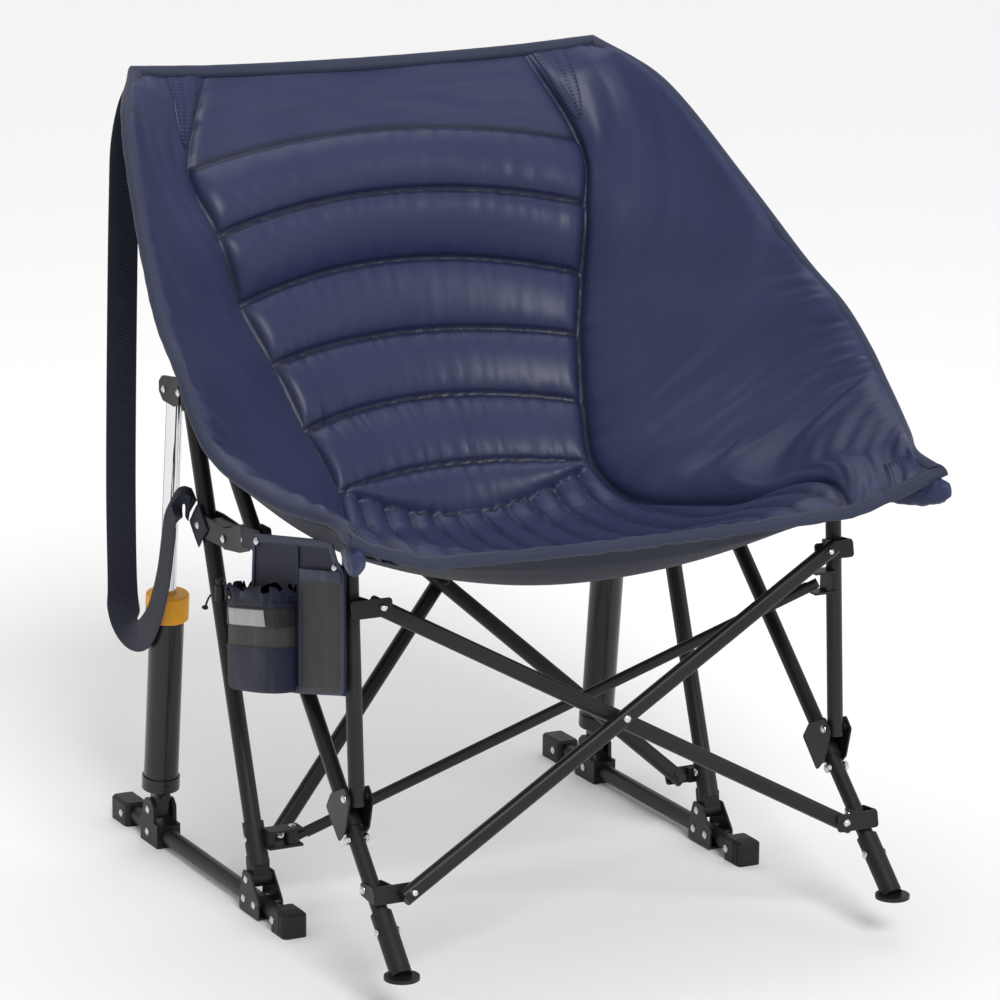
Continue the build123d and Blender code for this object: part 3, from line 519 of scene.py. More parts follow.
# wings: one soft cushion each, tucked in at the seam and the rim
wing_t = np.clip((np.abs(U) - SEAM) / (1 - SEAM), 0, 1)
tuck_seam = np.clip(wing_t / 0.22, 0, 1)
tuck_rim = np.clip((1 - wing_t) / 0.08, 0, 1)
round_seam = np.sqrt(np.clip(1 - (1 - tuck_seam) ** 2, 0, 1))
round_rim = np.sqrt(np.clip(1 - (1 - tuck_rim) ** 2, 0, 1))
fullness = 9.0 + 9.0 * np.exp(-(((V - 7.0) / 2.0) ** 2))
wing_puff = fullness * round_seam * round_rim * np.clip(V / 0.4, 0, 1) * np.clip((9.6 - V) / 0.9, 0, 1)
height = np.where(on_middle, height, wing_puff)


def waves(u, v, seed, su, sv):
    """Smooth noise over the cloth, from -1 to 1."""
    flat = [noise.noise(Vector((a * su + seed, b * sv, seed * 0.37))) for a, b in zip(u.ravel(), v.ravel())]
    return np.array(flat).reshape(u.shape)


# creases: short ones that cross the quilting lines, long slanted ones on the wings
cross = waves(U, V, 3.1, 34.0, 1.3) + 0.5 * waves(U, V, 9.7, 70.0, 2.2)
near_line = np.exp(-((near / 0.22) ** 2))
height += np.where(is_back & (V > 1), cross * (0.45 + 1.5 * near_line) * fade, 0)
height += np.where(is_back & (V <= 1), waves(U, V, 5.5, 5.0, 9.0) * 1.5, 0)
height += np.where(is_seat, waves(U, V, 12.3, 22.0, 5.0) * 1.3 * fade, 0)
# on the wings a crease runs from the foot of the seam up to the rim
mirror = np.where(U < 0, 17.0, 0.0)
crease_line = V + 6.0 * (np.abs(U) - SEAM) + mirror
lower_part = np.clip((V - 1.5) / 4.0, 0, 1)
slant = waves(crease_line, np.abs(U), 21.0, 0.95, 3.0) * (3.5 + 7.5 * lower_part)
fine_slant = waves(crease_line, np.abs(U), 33.0, 3.2, 5.0) * (0.8 + 3.6 * lower_part)
rim_gather = waves(V + mirror, np.abs(U), 47.0, 7.0, 2.0) * np.exp(-(((1 - wing_t) / 0.16) ** 2)) * 2.0
wing_edge = np.clip(wing_t / 0.25, 0, 1) * np.clip((1 - wing_t) / 0.06, 0, 1)
height += np.where(on_middle, 0, (slant + fine_slant + rim_gather) * wing_edge)
seam_gather = np.exp(-((wing_t / 0.10) ** 2)) * np.where(on_middle, 0, 1)
height += seam_gather * waves(U, V, 41.0, 3.0, 9.0) * 1.6
height -= 4.0 * np.exp(-(((np.abs(U) - SEAM) / 0.014) ** 2)) * np.clip(V / 1.0, 0, 1)
top = base + normal * (height * MM)[..., None]

cell_u = np.concatenate([[0], np.cumsum(np.linalg.norm(np.diff(base[len(rows) // 2], axis=0), axis=1))])
cell_v = np.concatenate([[0], np.cumsum(np.linalg.norm(np.diff(base[:, len(columns) // 2], axis=0), axis=1))])
cloth_uv = np.stack(np.meshgrid(cell_u, cell_v), -1)

seat = grid_mesh("quilted_seat", top, cloth_uv, "navy_quilt")
pucker = seat.data.attributes.new("pucker", "FLOAT", "POINT")
middle_pucker = np.where(V > 1, 0.12 + 0.88 * near_line, 0.0)
pucker_share = np.where(on_middle, middle_pucker, 0.05 + 0.5 * seam_gather)
pucker.data.foreach_set("value", pucker_share.ravel().astype(np.float32))
# painted shade: weights that darken the cloth's colour along the quilting lines of the back and seat and
# along the side seams
on_line = np.where((is_back & (V > 0.9)) | is_seat, np.exp(-((near / 0.06) ** 2)), 0.0)
on_seam = np.exp(-(((np.abs(U) - SEAM) / 0.010) ** 2)) * np.clip(V / 0.5, 0, 1)
groove_shade = seat.data.attributes.new("groove_shade", "FLOAT", "POINT")
groove_shade_share = np.clip(0.80 * np.maximum(on_line, on_seam), 0, 1)
groove_shade.data.foreach_set("value", groove_shade_share.ravel().astype(np.float32))


def on_top(u, v, lift):
    """Points lift mm above the quilted face, and the face's outward directions there."""
    row = np.clip(v / 10 * (len(rows) - 1), 0, len(rows) - 1.001)
    column = np.clip(np.interp(u, columns, np.arange(len(columns))), 0, len(columns) - 1.001)
    i, j = row.astype(int), column.astype(int)
    f, g = (row - i)[..., None], (column - j)[..., None]

    def blend(grid):
        first = grid[i, j] * (1 - g) + grid[i, j + 1] * g
        second = grid[i + 1, j] * (1 - g) + grid[i + 1, j + 1] * g
        return first * (1 - f) + second * f

    outward = unit(blend(normal))
    return blend(top) + outward * (lift * MM)[..., None], outward


belly = 20.0 * np.exp(-(((V - 9.0) / 0.75) ** 2)) * np.clip(1.15 - np.abs(U) ** 2, 0, 1)
from_edge = np.minimum(1 - np.abs(U), np.minimum(V, 10 - V) / 10)
lining_edge = np.clip(from_edge / 0.04, 0, 1)
lining_points = base - normal * ((LINING_BELOW + belly)[..., None] * MM * lining_edge[..., None])
lining_wave = np.where(on_middle, 1.2, 2.0) * waves(U, V, 55.0, 4.0, 1.1)
lining_points = lining_points - normal * (lining_wave * MM)[..., None]
lining = grid_mesh("seat_lining", lining_points, cloth_uv, "lining")

# seams of the outer cloth: a tape along each side seam, and rows of stitching across the back
seam_lines = []
outer_seams = []
for j in (HALF, 3 * HALF):
    part = slice(STEP // 3, len(rows) - STEP // 3)
    line = lining_points[part, j] - normal[part, j] * 0.0008
    ahead = unit(np.gradient(line, axis=0))
    out = normal[part, j] * -1.0
    outer_seams.append(ribbon("outer_seam_tape", line, unit(np.cross(ahead, out)), out, 0.0055, 0.0009,
                              "binding"))
    for edge in (-0.0042, 0.0042):
        seam_lines.append((line + unit(np.cross(ahead, out)) * edge + out * 0.0010, out))
for row in (STEP, int(6.8 * STEP)):
    line = lining_points[row, HALF:3 * HALF + 1]
    out = normal[row, HALF:3 * HALF + 1] * -1.0
    seam_lines.append((line + out * 0.0006, out))
outer_thread = stitches("outer_stitching", seam_lines)

# ---- seat: bound edge ----------------------------------------------------------------------------
rim_index = [(i, 0) for i in range(len(rows) - 1, 0, -1)]
rim_index += [(0, j) for j in range(len(columns))]
rim_index += [(i, len(columns) - 1) for i in range(1, len(rows))]
hem_index = [(len(rows) - 1, j) for j in range(len(columns))]


def bound_edge(name, index, inward_steps, half_wide, half_thick, wobble):
    line = np.array([base[i, j] for i, j in index])
    inside = []
    for i, j in index:
        if (i, j) in inward_steps:
            di, dj = inward_steps[(i, j)]
        elif i == 0:
            di, dj = 2, 0
        elif i == len(rows) - 1:
            di, dj = -2, 0
        else:
            di, dj = 0, 2 if j == 0 else -2
        inside.append(base[i + di, j + dj] - base[i, j])
    across = unit(np.array(inside))
    outward = np.array([normal[i, j] for i, j in index])
    for _ in range(12):
        across[1:-1] = unit(across[:-2] + across[1:-1] * 2 + across[2:])
        outward[1:-1] = unit(outward[:-2] + outward[1:-1] * 2 + outward[2:])
    outward = unit(outward - across * np.sum(outward * across, axis=1)[:, None])
    centre = line + across * (half_wide * 0.75)
    piece = ribbon(name, centre, across, outward, half_wide, half_thick, "binding", wobble=wobble)
    return piece, centre, across, outward


corner_steps = {(0, 0): (2, 2), (0, len(columns) - 1): (2, -2)}
rim_edge, rim_centre, rim_across, rim_out = bound_edge("bound_rim", rim_index, corner_steps,
                                                       0.0085, 0.0066, 0.12)
hem_edge, hem_centre, hem_across, hem_out = bound_edge("bound_hem", hem_index, {}, 0.0085, 0.0068, 0.34)

# ---- seat: stitching -----------------------------------------------------------------------------
lines = []
for sign in (1, -1):
    lines.append((rim_centre + rim_across * 0.0050 + rim_out * (0.0058 * sign), rim_out * sign))
    lines.append((hem_centre + hem_across * 0.0058 + hem_out * (0.0062 * sign), hem_out * sign))
for k in range(1, 7):
    line = surface(np.linspace(-SEAM, SEAM, 90), np.full(90, float(k)))
    lines.append((line + np.array([0, -0.0006, 0.0006]), np.tile([0, -0.8, 0.6], (90, 1))))
thread = stitches("seat_stitching", lines)

# ---- seat: corner patches ------------------------------------------------------------------------
patch_lines = []
patches = []
for side in (-1, 1):
    a = np.linspace(0, 1, 25)
    b = np.linspace(0, 1, 25)
    A, B = np.meshgrid(a, b)
    patch_mid = 0.652 - 0.105 * B
    patch_half = 0.1175 * (1 - 0.72 * B) * np.sqrt(np.clip(1 - B ** 8, 0.02, 1))
    pu = patch_mid + (2 * A - 1) * patch_half
    pv = 0.06 + 0.76 * B
    edge_drop = np.clip(np.minimum(np.minimum(A, 1 - A), 1 - B) / 0.06, 0, 1)
    lifted, out = on_top(pu * side, pv, 0.4 + 1.4 * edge_drop)
    uv = np.stack([pu * 0.5, pv * 0.1], -1)
    patch = grid_mesh("corner_patch_" + ("l" if side < 0 else "r"), lifted, uv, "navy_quilt")
    attribute = patch.data.attributes.new("pucker", "FLOAT", "POINT")
    attribute.data.foreach_set("value", np.full(lifted.shape[0] * lifted.shape[1], 0.6, np.float32))
    patches.append(patch)
    for inset in (1, 3):
        for column in (inset, 24 - inset):
            patch_lines.append((lifted[:, column] + out[:, column] * 0.0006, out[:, column]))
        patch_lines.append((lifted[24 - inset, :] + out[24 - inset, :] * 0.0006, out[24 - inset, :]))
    for column in (13, 15):
        patch_lines.append((lifted[:, column] + out[:, column] * 0.0006, out[:, column]))
# front corners: a doubled patch over the pocket that holds the front post's end
for side in (-1, 1):
    A, B = np.meshgrid(np.linspace(0, 1, 25), np.linspace(0, 1, 25))
    pu = 0.70 + 0.10 * (1 - B) + (0.985 - 0.70 - 0.10 * (1 - B)) * A
    pv = 9.12 + 0.83 * B
    edge_drop = np.clip(np.minimum(np.minimum(A, 1 - A), np.minimum(B, 1 - B)) / 0.08, 0, 1)
    lifted, out = on_top(pu * side, pv, 0.4 + 1.6 * edge_drop)
    uv = np.stack([pu * 0.5, pv * 0.1], -1)
    patch = grid_mesh("front_patch_" + ("l" if side < 0 else "r"), lifted, uv, "navy_quilt")
    attribute = patch.data.attributes.new("pucker", "FLOAT", "POINT")
    attribute.data.foreach_set("value", np.full(lifted.shape[0] * lifted.shape[1], 0.3, np.float32))
    patches.append(patch)
    for inset in (2, 4):
        patch_lines.append((lifted[:, inset] + out[:, inset] * 0.0006, out[:, inset]))
        patch_lines.append((lifted[inset, :] + out[inset, :] * 0.0006, out[inset, :]))
        patch_lines.append((lifted[24 - inset, :] + out[24 - inset, :] * 0.0006, out[24 - inset, :]))
patch_thread = stitches("patch_stitching", patch_lines)

soft = [seat, lining, rim_edge, hem_edge, thread, patch_thread, outer_thread, *outer_seams, *patches]

# ---- pockets that hold the posts -----------------------------------------------------------------
def sleeve(name, points, radii, material="navy_quilt", sides=28, seed=1.0, lumps=0.8):
    """Cloth sleeve round a post. points are on its axis, radii are (half width, half thickness)."""
    line = smooth_line(points, 40)
    size = smooth_line(radii, 40)
    ahead = unit(np.gradient(line, axis=0))
    side = unit(np.cross(ahead, [0, 0, 1.0] if abs(ahead[0, 2]) < 0.8 else [0, 1.0, 0]))
    lift = np.cross(side, ahead)
    rings = np.zeros((40, sides, 3))
    for k in range(sides):
        angle = 2 * math.pi * k / sides
        for i in range(40):
            c, q = math.cos(angle), math.sin(angle)
            bulge = 1 + lumps * 0.06 * noise.noise(Vector((i * 0.35 + seed, c * 2, q * 2)))
            rings[i, k] = line[i] + (side[i] * size[i, 0] * c + lift[i] * size[i, 1] * q) * bulge
    rings = rings * MM
    uv = np.zeros((40, sides + 1, 2))
    uv[..., 0] = np.linspace(0, 0.09, sides + 1)[None, :]
    uv[..., 1] = np.linspace(0, 0.1, 40)[:, None]
    obj = grid_mesh(name, rings, uv, material, wrap=True)
    bm = bmesh.new()
    bm.from_mesh(obj.data)
    bm.verts.ensure_lookup_table()
    bm.faces.new([bm.verts[39 * sides + k] for k in range(sides)])
    bm.to_mesh(obj.data)
    bm.free()
    return obj


for side in (-1, 1):
    tag = "l" if side < 0 else "r"
    # top of the back post
    path = [
        (side * 281.6, 297, 826),
        (side * 283.3, 313, 868),
        (side * 284.6, 326, 902),
        (side * 285.0, 331.5, 918),
    ]
    back_sizes = [(12.5, 11.5), (12.5, 11.5), (12.5, 11.2), (9.0, 9.5)]
    soft.append(sleeve("back_pocket_" + tag, path, back_sizes, "lining", seed=side * 3.3))
    # front corner, round the end of the front post's arm
    path = [
        (side * 321, -298, 500),
        (side * 335, -330, 506),
        (side * 349, -362, 511),
        (side * 358, -384, 514),
    ]
    path += [(side * 364, -397, 517)]
    front_sizes = [(11.5, 13), (11.5, 16), (11.5, 18), (10.5, 15), (4, 8)]
    soft.append(sleeve("front_pocket_" + tag, path, front_sizes, seed=side * 5.1, lumps=2.0))
for piece in soft:
    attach(piece, "chair")
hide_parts("seat_bucket")

# ---- carry strap ---------------------------------------------------------------------------------
flat_across = (1, 0, 0)
STRAP_HALF_WIDE, STRAP_HALF_THICK = 0.019, 0.0011
tab_edge = (0, math.sqrt(0.5), -math.sqrt(0.5))
stations = [
    ((-283, 338, 908), flat_across),
    ((-296, 343, 880), flat_across),
    ((-304, 347, 835), flat_across),
    ((-307, 346.5, 780), flat_across),
    ((-310, 345, 700), flat_across),
    ((-314, 343, 560), flat_across),
    ((-317, 341, 420), flat_across),
    ((-318, 337, 310), flat_across),
    ((-321, 326, 279), (0.90, -0.33, 0.28)),
    ((-326, 294, 262), (0.35, -0.42, 0.84)),
    ((-327.2, 256, 268), (0, -0.35, 0.94)),
    ((-327, 222, 299), (0, 0.707, 0.707)),
    ((-326, 196, 350), (0, 0.93, 0.36)),
    ((-324, 185, 400), (0, 1, 0.10)),
    ((-322, 180, 428), (0, 0.96, -0.28)),
    ((-316, 164, 448), (0, 0.85, 0.40)),
    ((-312.4, 150, 443), tab_edge),
]
strap_line = smooth_line([s[0] for s in stations], 160) * MM
strap_across = unit(smooth_line([s[1] for s in stations], 160))
strap_ahead = unit(np.gradient(strap_line, axis=0))
strap_normal = unit(np.cross(strap_ahead, strap_across))
strap_across = unit(np.cross(strap_normal, strap_ahead))
strap = ribbon("carry_strap_webbing", strap_line, strap_across, strap_normal,
               STRAP_HALF_WIDE, STRAP_HALF_THICK, "navy_webbing", sides=14)
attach(strap, "chair")
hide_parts("carry_strap")

# square end of the strap, set on its corner under the rivet of the leg's clip
tab_low, tab_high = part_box("strap_tab")
tab_centre = (np.array(tab_low) + np.array(tab_high)) / 2
tab_run = np.linspace(-STRAP_HALF_WIDE, STRAP_HALF_WIDE, 24)[:, None]
tab_down = unit(np.array([0.0, 1.0, -1.0]))
tab_cross = unit(np.array([0.0, -1.0, -1.0]))
tab_line = tab_centre + tab_run * tab_down
tab_lift = 0.0006 * np.sin(np.linspace(0, 5, 24))
tab_line[:, 0] -= tab_lift
tab = ribbon("strap_end_tab", tab_line, np.tile(tab_cross, (24, 1)), np.tile([-1.0, 0, 0], (24, 1)),
             STRAP_HALF_WIDE, STRAP_HALF_THICK, "navy_webbing", sides=14)
tab_seam = []
for edge in (-0.0165, 0.0165):
    seam_line_on_tab = tab_line[1:-1] + tab_cross * edge + np.array([-0.0013, 0, 0])
    tab_seam.append((seam_line_on_tab, np.tile([-1.0, 0, 0], (22, 1))))
tab_thread = stitches("strap_tab_stitching", tab_seam)
for piece in (tab, tab_thread):
    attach(piece, "chair")
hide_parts("strap_tab")

# ---- side organiser: panel -----------------------------------------------------------------------
PANEL_FACE = -322.0


def along_corners(corners, count):
    """Evenly spaced points along straight runs between corners."""
    c = np.array(corners, float)
    run = np.concatenate([[0], np.cumsum(np.linalg.norm(np.diff(c, axis=0), axis=1))])
    t = np.linspace(0, run[-1], count)
    return np.stack([np.interp(t, run, c[:, k]) for k in range(c.shape[1])], -1)


def outward_sheet(name, flat_yz, proud, material, thick=0.0):
    """Cloth parallel to the side of the chair: a grid of (y, z) points and how far each stands out, in mm."""
    points = np.concatenate([PANEL_FACE - proud[..., None], flat_yz], -1) * MM
    uv = flat_yz * MM
    obj = grid_mesh(name, points, uv, material)
    if thick:
        bm = bmesh.new()
        bm.from_mesh(obj.data)
        bmesh.ops.solidify(bm, geom=bm.faces[:], thickness=thick * MM)
        bm.to_mesh(obj.data)
        bm.free()
        obj.data.polygons.foreach_set("use_smooth", [True] * len(obj.data.polygons))
    return obj


def tape(name, corners, proud, half_wide, material="edge_tape", half_thick=0.9, count=60, wobble=0.12):
    """Folded tape sewn along corners given as (y, z), standing proud of the panel's face."""
    yz = along_corners(corners, count)
    line = np.column_stack([np.full(count, PANEL_FACE - proud), yz]) * MM
    ahead = unit(np.gradient(line, axis=0))
    out = np.tile([-1.0, 0, 0], (count, 1))
    return ribbon(name, line, unit(np.cross(ahead, out)), out, half_wide * MM, half_thick * MM, material,
                  wobble=wobble, seed=half_wide)


ROWS_P, COLUMNS_P = 44, 60
back_side = along_corners([(5, 272), (-8, 388), (-50, 398), (-52, 462)], ROWS_P)
front_side = along_corners([(-283, 336), (-283, 476), (-260, 480), (-248, 500)], ROWS_P)
share = np.linspace(0, 1, COLUMNS_P)[None, :, None]
panel_yz = back_side[:, None, :] * (1 - share) + front_side[:, None, :] * share
PU, PV = np.meshgrid(np.linspace(0, 1, COLUMNS_P), np.linspace(0, 1, ROWS_P))
panel_proud = 0.5 * waves(PU, PV, 81.0, 4.0, 2.5) + 0.25 * waves(PU, PV, 82.0, 11.0, 5.0)
panel = outward_sheet("organiser_panel_cloth", panel_yz, panel_proud, "organiser_cloth", thick=2.0)

organiser = [panel]
organiser.append(tape("organiser_top_tape", [(-53, 457.5), (-251, 495.5)], 0.6, 5.2))
front_tape_corners = [(-249, 497), (-262, 479), (-277.5, 470), (-277.5, 338)]
organiser.append(tape("organiser_front_tape", front_tape_corners, 0.9, 6.2))
organiser.append(tape("organiser_bottom_tape", [(-281, 340.5), (-170, 313.5), (3, 277.5)], 0.7, 4.6))
organiser.append(tape("organiser_back_tape", [(2, 276), (-9, 386), (-48, 396), (-53, 460)], 0.7, 3.6))
organiser.append(tape("organiser_middle_tape", [(-167, 476), (-169, 311)], 0.9, 2.2, "organiser_cloth"))

# ---- side organiser: flat pocket -----------------------------------------------------------------
POCKET_BACK, POCKET_FRONT = -173.0, -280.0
TU, TV = np.meshgrid(np.linspace(0, 1, 40), np.linspace(0, 1, 44))
pocket_y = POCKET_BACK + (POCKET_FRONT - POCKET_BACK) * TU
pocket_low = 311.0 + 28.0 * TU
pocket_high = 452.0 + 22.0 * TU
pocket_yz = np.stack([pocket_y, pocket_low + (pocket_high - pocket_low) * TV], -1)
swell = np.sin(np.pi * TU) ** 0.6 * np.clip(TV / 0.12, 0, 1) ** 0.5
pocket_wave = 4.4 + 1.5 * waves(TU, TV, 90.0, 5.0, 2.2) + 0.9 * waves(TU, TV, 91.0, 13.0, 4.0)
pocket_proud = 1.3 + swell * pocket_wave
pocket = outward_sheet("phone_pocket_mesh", pocket_yz, pocket_proud, "grey_mesh")
organiser.append(pocket)
hem_line = np.column_stack([PANEL_FACE - pocket_proud[-1] - 0.2, pocket_yz[-1] - np.array([0, 6.5])]) * MM
hem_ahead = unit(np.gradient(hem_line, axis=0))
hem_out = np.tile([-1.0, 0, 0], (40, 1))
organiser.append(ribbon("phone_pocket_hem", hem_line, unit(np.cross(hem_ahead, hem_out)), hem_out,
                        6.5 * MM, 0.8 * MM, "edge_tape"))
organiser.append(tape("phone_pocket_back_tape", [(-175.5, 446), (-175.5, 314)], 1.9, 2.6))

# ---- side organiser: gathered pouch --------------------------------------------------------------
POUCH_MID = -90.0
POUCH_HALF = 75.0
POUCH_OUT = 27.4
AROUND = 120


def pouch_ring(height, inset=0.0, squeeze=1.0, folds=0.0, lumps=0.0, seed=0.0):
    """One level ring of the pouch, following the slope of the panel's lower edge."""
    ring = []
    for k in range(AROUND):
        angle = 2 * math.pi * k / AROUND
        c, q = math.cos(angle), math.sin(angle)
        y = POUCH_MID + (POUCH_HALF * squeeze - inset) * math.copysign(abs(c) ** 0.62, c)
        out = (POUCH_OUT * squeeze - inset) * max(q, 0) ** 0.55 if q > 0 else 0
        low = noise.noise(Vector((c * 2.2 + seed, q * 2.2, height * 0.03)))
        fine = noise.noise(Vector((c * 7.0 + seed, q * 7.0, height * 0.012)))
        wall = max(q, 0) ** 0.4
        out += wall * (lumps * (1.6 * low + 0.8 * fine) + folds * math.sin(17 * angle + 2.2 * low))
        x = PANEL_FACE - 0.5 - inset * 0.3 - out
        rise = height + (folds * 1.1 * math.sin(11 * angle + 1.0) if folds else 0)
        ring.append((x, y, 277.0 - 0.213 * (y + 15.0) + rise))
    return ring


def pouch_piece(name, rings, material, close_last=False):
    points = np.array(rings) * MM
    count = len(rings)
    uv = np.zeros((count, AROUND + 1, 2))
    uv[..., 0] = np.linspace(0, 0.36, AROUND + 1)[None, :]
    uv[..., 1] = points[:, :1, 2]
    obj = grid_mesh(name, points, uv, material, wrap=True)
    if close_last:
        bm = bmesh.new()
        bm.from_mesh(obj.data)
        bm.verts.ensure_lookup_table()
        start = (count - 1) * AROUND
        bm.faces.new([bm.verts[start + k] for k in range(AROUND)])
        bm.to_mesh(obj.data)
        bm.free()
    return obj


MESH_LOW, MESH_HIGH = 50.0, 101.0
lower = []
for h in np.linspace(MESH_LOW + 2, 0, 26):
    foot = math.sqrt(max(1 - (1 - min(h / 12.0, 1.0)) ** 2, 0))
    lower.append(pouch_ring(h, squeeze=0.90 + 0.10 * foot, lumps=1.0, seed=2.0))
lower.append(pouch_ring(0.2, squeeze=0.5, seed=2.0))
pouch_lower = pouch_piece("pouch_lower_cloth", lower, "organiser_cloth", close_last=True)
organiser.append(pouch_lower)
band = [pouch_ring(h, lumps=0.9, seed=2.0, inset=0.4) for h in np.linspace(MESH_LOW, MESH_HIGH, 22)]
organiser.append(pouch_piece("pouch_mesh_band", band, "grey_mesh"))
ruffle = []
# rings of the gathered top, up the outside and down the inside: height, squeeze, depth of the folds
for h, squeeze, folds in (
    (98, 1.0, 0.2), (100.5, 1.01, 0.3), (103, 0.97, 0.5), (105.5, 0.93, 0.9), (108, 0.94, 1.5),
    (111, 0.97, 2.3), (114, 0.99, 3.0), (117, 1.0, 3.6), (118.5, 0.985, 3.7), (118, 0.96, 3.6),
    (115, 0.93, 3.0), (111, 0.90, 2.2), (106, 0.88, 1.0), (100, 0.93, 0.3),
):
    ruffle.append(pouch_ring(h, squeeze=squeeze, folds=folds, lumps=0.8, seed=2.0))
organiser.append(pouch_piece("pouch_gathered_top", ruffle, "organiser_cloth"))
inside = [pouch_ring(h, inset=1.8, squeeze=0.98, lumps=0.5, seed=2.0) for h in np.linspace(101, 4, 16)]
organiser.append(pouch_piece("pouch_lining", inside, "lining", close_last=True))


def round_pouch(name, height, first, last, half_wide, proud, material, half_thick=0.7):
    """Band that follows the pouch's outer wall between two shares of the way round."""
    wall = pouch_ring(height, inset=-proud, lumps=0.9, seed=2.0)[:AROUND // 2 + 1]
    part = np.array(wall[int(first * AROUND / 2):int(last * AROUND / 2) + 1]) * MM
    line = smooth_line(part, 70)
    ahead = unit(np.gradient(line, axis=0))
    up_wall = np.tile([0, 0, 1.0], (70, 1))
    out = unit(np.cross(up_wall, ahead))
    return ribbon(name, line, unit(np.cross(ahead, out)), out, half_wide * MM, half_thick * MM, material)


organiser.append(round_pouch("pouch_webbing_band", 86.0, 0.0, 1.0, 11.0, 0.9, "black_webbing"))
organiser.append(round_pouch("pouch_reflective_strip", 86.0, 0.36, 0.66, 9.5, 1.9, "reflective", 0.4))
organiser.append(round_pouch("pouch_lower_seam", MESH_LOW + 0.5, 0.0, 1.0, 1.8, 0.6, "organiser_cloth", 0.6))

organiser_lines = []
for corners, proud in (
    ([(-53, 453.6), (-250, 491.6)], 1.6),
    ([(-272.8, 466), (-272.8, 342)], 1.9),
    ([(-279, 344), (-170, 317), (1, 281)], 1.6),
    ([(-164.5, 474), (-166.5, 316)], 1.2),
    ([(-178, 440), (-178, 317)], 2.9),
):
    yz = along_corners(corners, 90)
    line = np.column_stack([np.full(90, PANEL_FACE - proud), yz]) * MM
    organiser_lines.append((line, np.tile([-1.0, 0, 0], (90, 1))))
organiser.append(stitches("organiser_stitching", organiser_lines, long=0.0026, wide=0.0005, gap=0.0013))

# webbing tab from the panel's back corner to the front leg's clip
tab_places = [(-321.5, -66, 455), (-318.5, -44, 452), (-313.2, -12, 447), (-311.2, 8, 443)]
tab_path = smooth_line(tab_places, 30) * MM
tab_ahead = unit(np.gradient(tab_path, axis=0))
tab_up = np.tile(unit(np.array([0, 0.15, 1.0])), (30, 1))
tab_out = unit(np.cross(tab_up, tab_ahead))
organiser.append(ribbon("organiser_hanger_tab", tab_path, unit(np.cross(tab_ahead, tab_out)), tab_out,
                        0.0125, 0.0010, "navy_webbing"))
for piece in organiser:
    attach(piece, "chair")
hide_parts("organiser_panel")
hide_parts("phone_pocket")
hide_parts("cup_pouch")

# ---- rivet heads ---------------------------------------------------------------------------------
FRONT_LEAN = math.radians(12.0)
CROSS_HALF, CROSS_MID, CROSS_TOP, CROSS_LOW = 275, 278, 428.5, 127.5
POST_X, LEG_X = 301.9, 304.8
HUB_Y, HUB_Z = -271.0, 216.3
front_out = np.array([0, -math.cos(FRONT_LEAN), math.sin(FRONT_LEAN)])


def front_plane(x, z):
    """Point of the plane of the front cross."""
    return np.array([x, -312.0 + (z - CROSS_MID) * math.tan(FRONT_LEAN), z])


heads = []
for centre_x, head_z, stand in (
    (0, CROSS_MID, 16.0),
    (-CROSS_HALF, CROSS_TOP, 2.0),
    (CROSS_HALF, CROSS_TOP, 15.8),
    (-CROSS_HALF, CROSS_LOW, 15.7),
    (CROSS_HALF, CROSS_LOW, 2.2),
):
    heads.append((front_plane(centre_x, head_z) + front_out * stand, front_out))
for side in (-1, 1):
    for edge in (-1, 1):
        sideways = np.array([edge, 0, 0])
        heads.append((np.array([side * POST_X + edge * 15.1, HUB_Y, HUB_Z]), sideways))
        post_y = -286.4 + 0.0681 * CROSS_TOP
        heads.append((np.array([side * POST_X + edge * 12.1, post_y, CROSS_TOP]), sideways))
        leg_y = -449.8 + 1.0326 * CROSS_LOW
        heads.append((np.array([side * LEG_X + edge * 12.1, leg_y, CROSS_LOW]), sideways))
heads.append((np.array([PANEL_FACE - 1.9, -262.0, 473.0]), np.array([-1.0, 0, 0])))
heads.append((np.array([PANEL_FACE - 1.6, -60.0, 455.0]), np.array([-1.0, 0, 0])))
head_profile = [(0.0, 3.2), (1.3, 3.05), (2.5, 2.6), (3.6, 1.9), (4.5, 1.0), (5.0, 0.0), (5.0, -0.4)]
ROUND = 20
head_verts, head_faces = [], []
for seat_point, out in heads:
    side_way = unit(np.cross(out, [0.2, 0.5, 0.8]))
    other = np.cross(out, side_way)
    start = len(head_verts)
    head_verts.append((seat_point + out * head_profile[0][1]) * MM)
    for radius, rise in head_profile[1:]:
        for k in range(ROUND):
            angle = 2 * math.pi * k / ROUND
            ring = side_way * math.cos(angle) * radius + other * math.sin(angle) * radius
            head_verts.append((seat_point + ring + out * rise) * MM)
    for k in range(ROUND):
        head_faces.append((start, start + 1 + k, start + 1 + (k + 1) % ROUND))
    for step in range(len(head_profile) - 2):
        a = start + 1 + step * ROUND
        for k in range(ROUND):
            n = (k + 1) % ROUND
            head_faces.append((a + k, a + ROUND + k, a + ROUND + n, a + n))
    last = start + 1 + (len(head_profile) - 2) * ROUND
    head_faces.append([last + k for k in range(ROUND)][::-1])
head_mesh = bpy.data.meshes.new("chrome_heads")
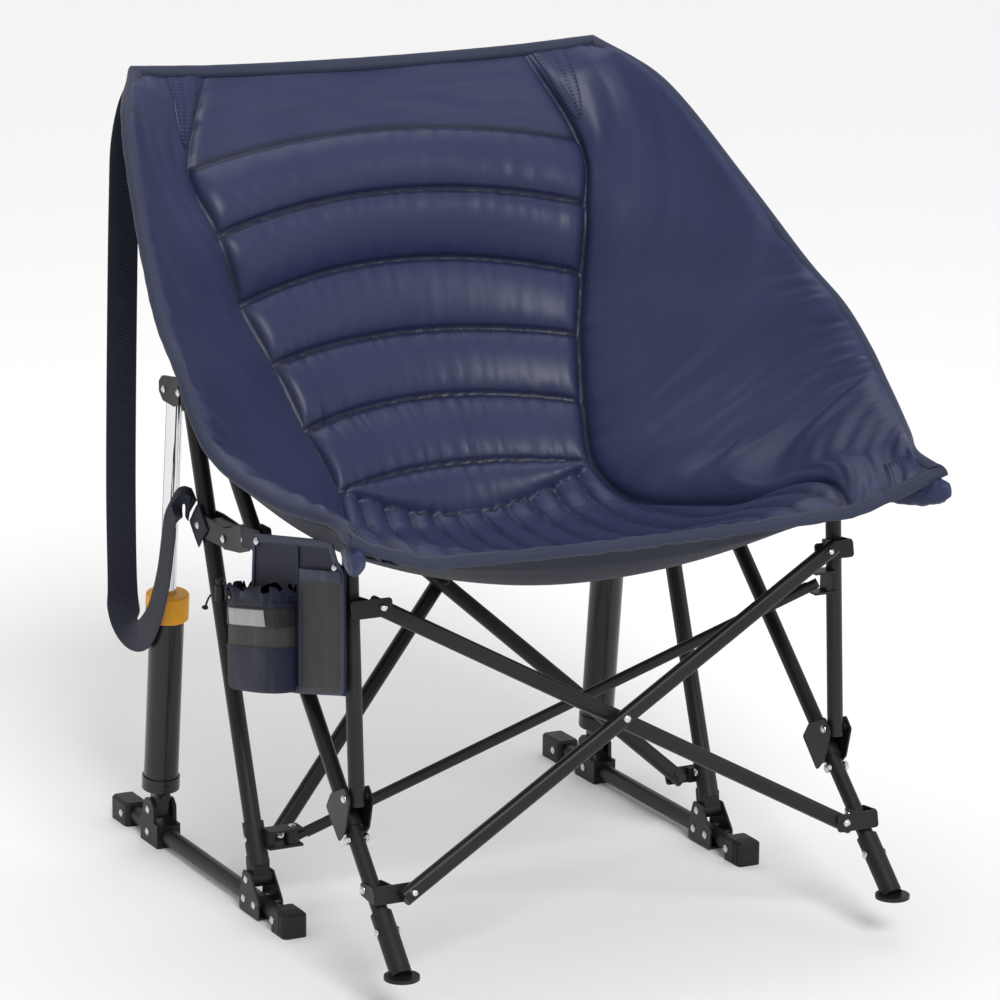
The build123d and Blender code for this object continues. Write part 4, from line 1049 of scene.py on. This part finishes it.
head_mesh.from_pydata([list(v) for v in head_verts], [], head_faces)
head_mesh.update()
chrome_heads = link(head_mesh, "chrome_rivet_heads", "rivet_steel")
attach(chrome_heads, "chair")

# ---- floor, light, world -------------------------------------------------------------------------
floor_mesh = bpy.data.meshes.new("floor")
floor_mesh.from_pydata([(-30, -30, 0), (30, -30, 0), (30, 30, 0), (-30, 30, 0)], [], [(0, 1, 2, 3)])
floor_mat, floor_tree, floor_bsdf = new_material("floor", (0.90, 0.90, 0.90), 0.75)
floor = bpy.data.objects.new("floor", floor_mesh)
floor_mesh.materials.append(floor_mat)
scene.collection.objects.link(floor)


def area_light(name, where, target, size, power):
    data = bpy.data.lights.new(name, "AREA")
    data.shape = "RECTANGLE"
    data.size, data.size_y = size
    data.energy = power
    obj = bpy.data.objects.new(name, data)
    scene.collection.objects.link(obj)
    direction = Vector(target) - Vector(where)
    turn = direction.to_track_quat("-Z", "Y").to_matrix().to_4x4()
    obj.matrix_world = Matrix.Translation(Vector(where)) @ turn
    return obj


area_light("fill", (3.2, -2.4, 1.6), (0, 0, 0.5), (2.2, 2.2), 14)
area_light("top", (0.2, 0.9, 3.4), (0, 0, 0.5), (2.6, 2.0), 26)
sun_data = bpy.data.lights.new("key", "SUN")
sun_data.energy = 2.0
sun_data.angle = math.radians(24)
sun = bpy.data.objects.new("key", sun_data)
scene.collection.objects.link(sun)
sun.matrix_world = Vector((0.12, 0.80, -0.66)).to_track_quat("-Z", "Y").to_matrix().to_4x4()
world = bpy.data.worlds.new("world")
scene.world = world
world.use_nodes = True
world.node_tree.nodes["Background"].inputs["Color"].default_value = (1, 1, 1, 1)
backdrop = world.node_tree.nodes["Background"]
seen = world.node_tree.nodes.new("ShaderNodeLightPath")
strength = ramp(world.node_tree, seen.outputs["Is Camera Ray"], 0, 1, 0.62, 0.95)
world.node_tree.links.new(strength, backdrop.inputs["Strength"])
scene.view_settings.view_transform = "Standard"
scene.view_settings.look = "None"
scene.view_settings.exposure = 0.0
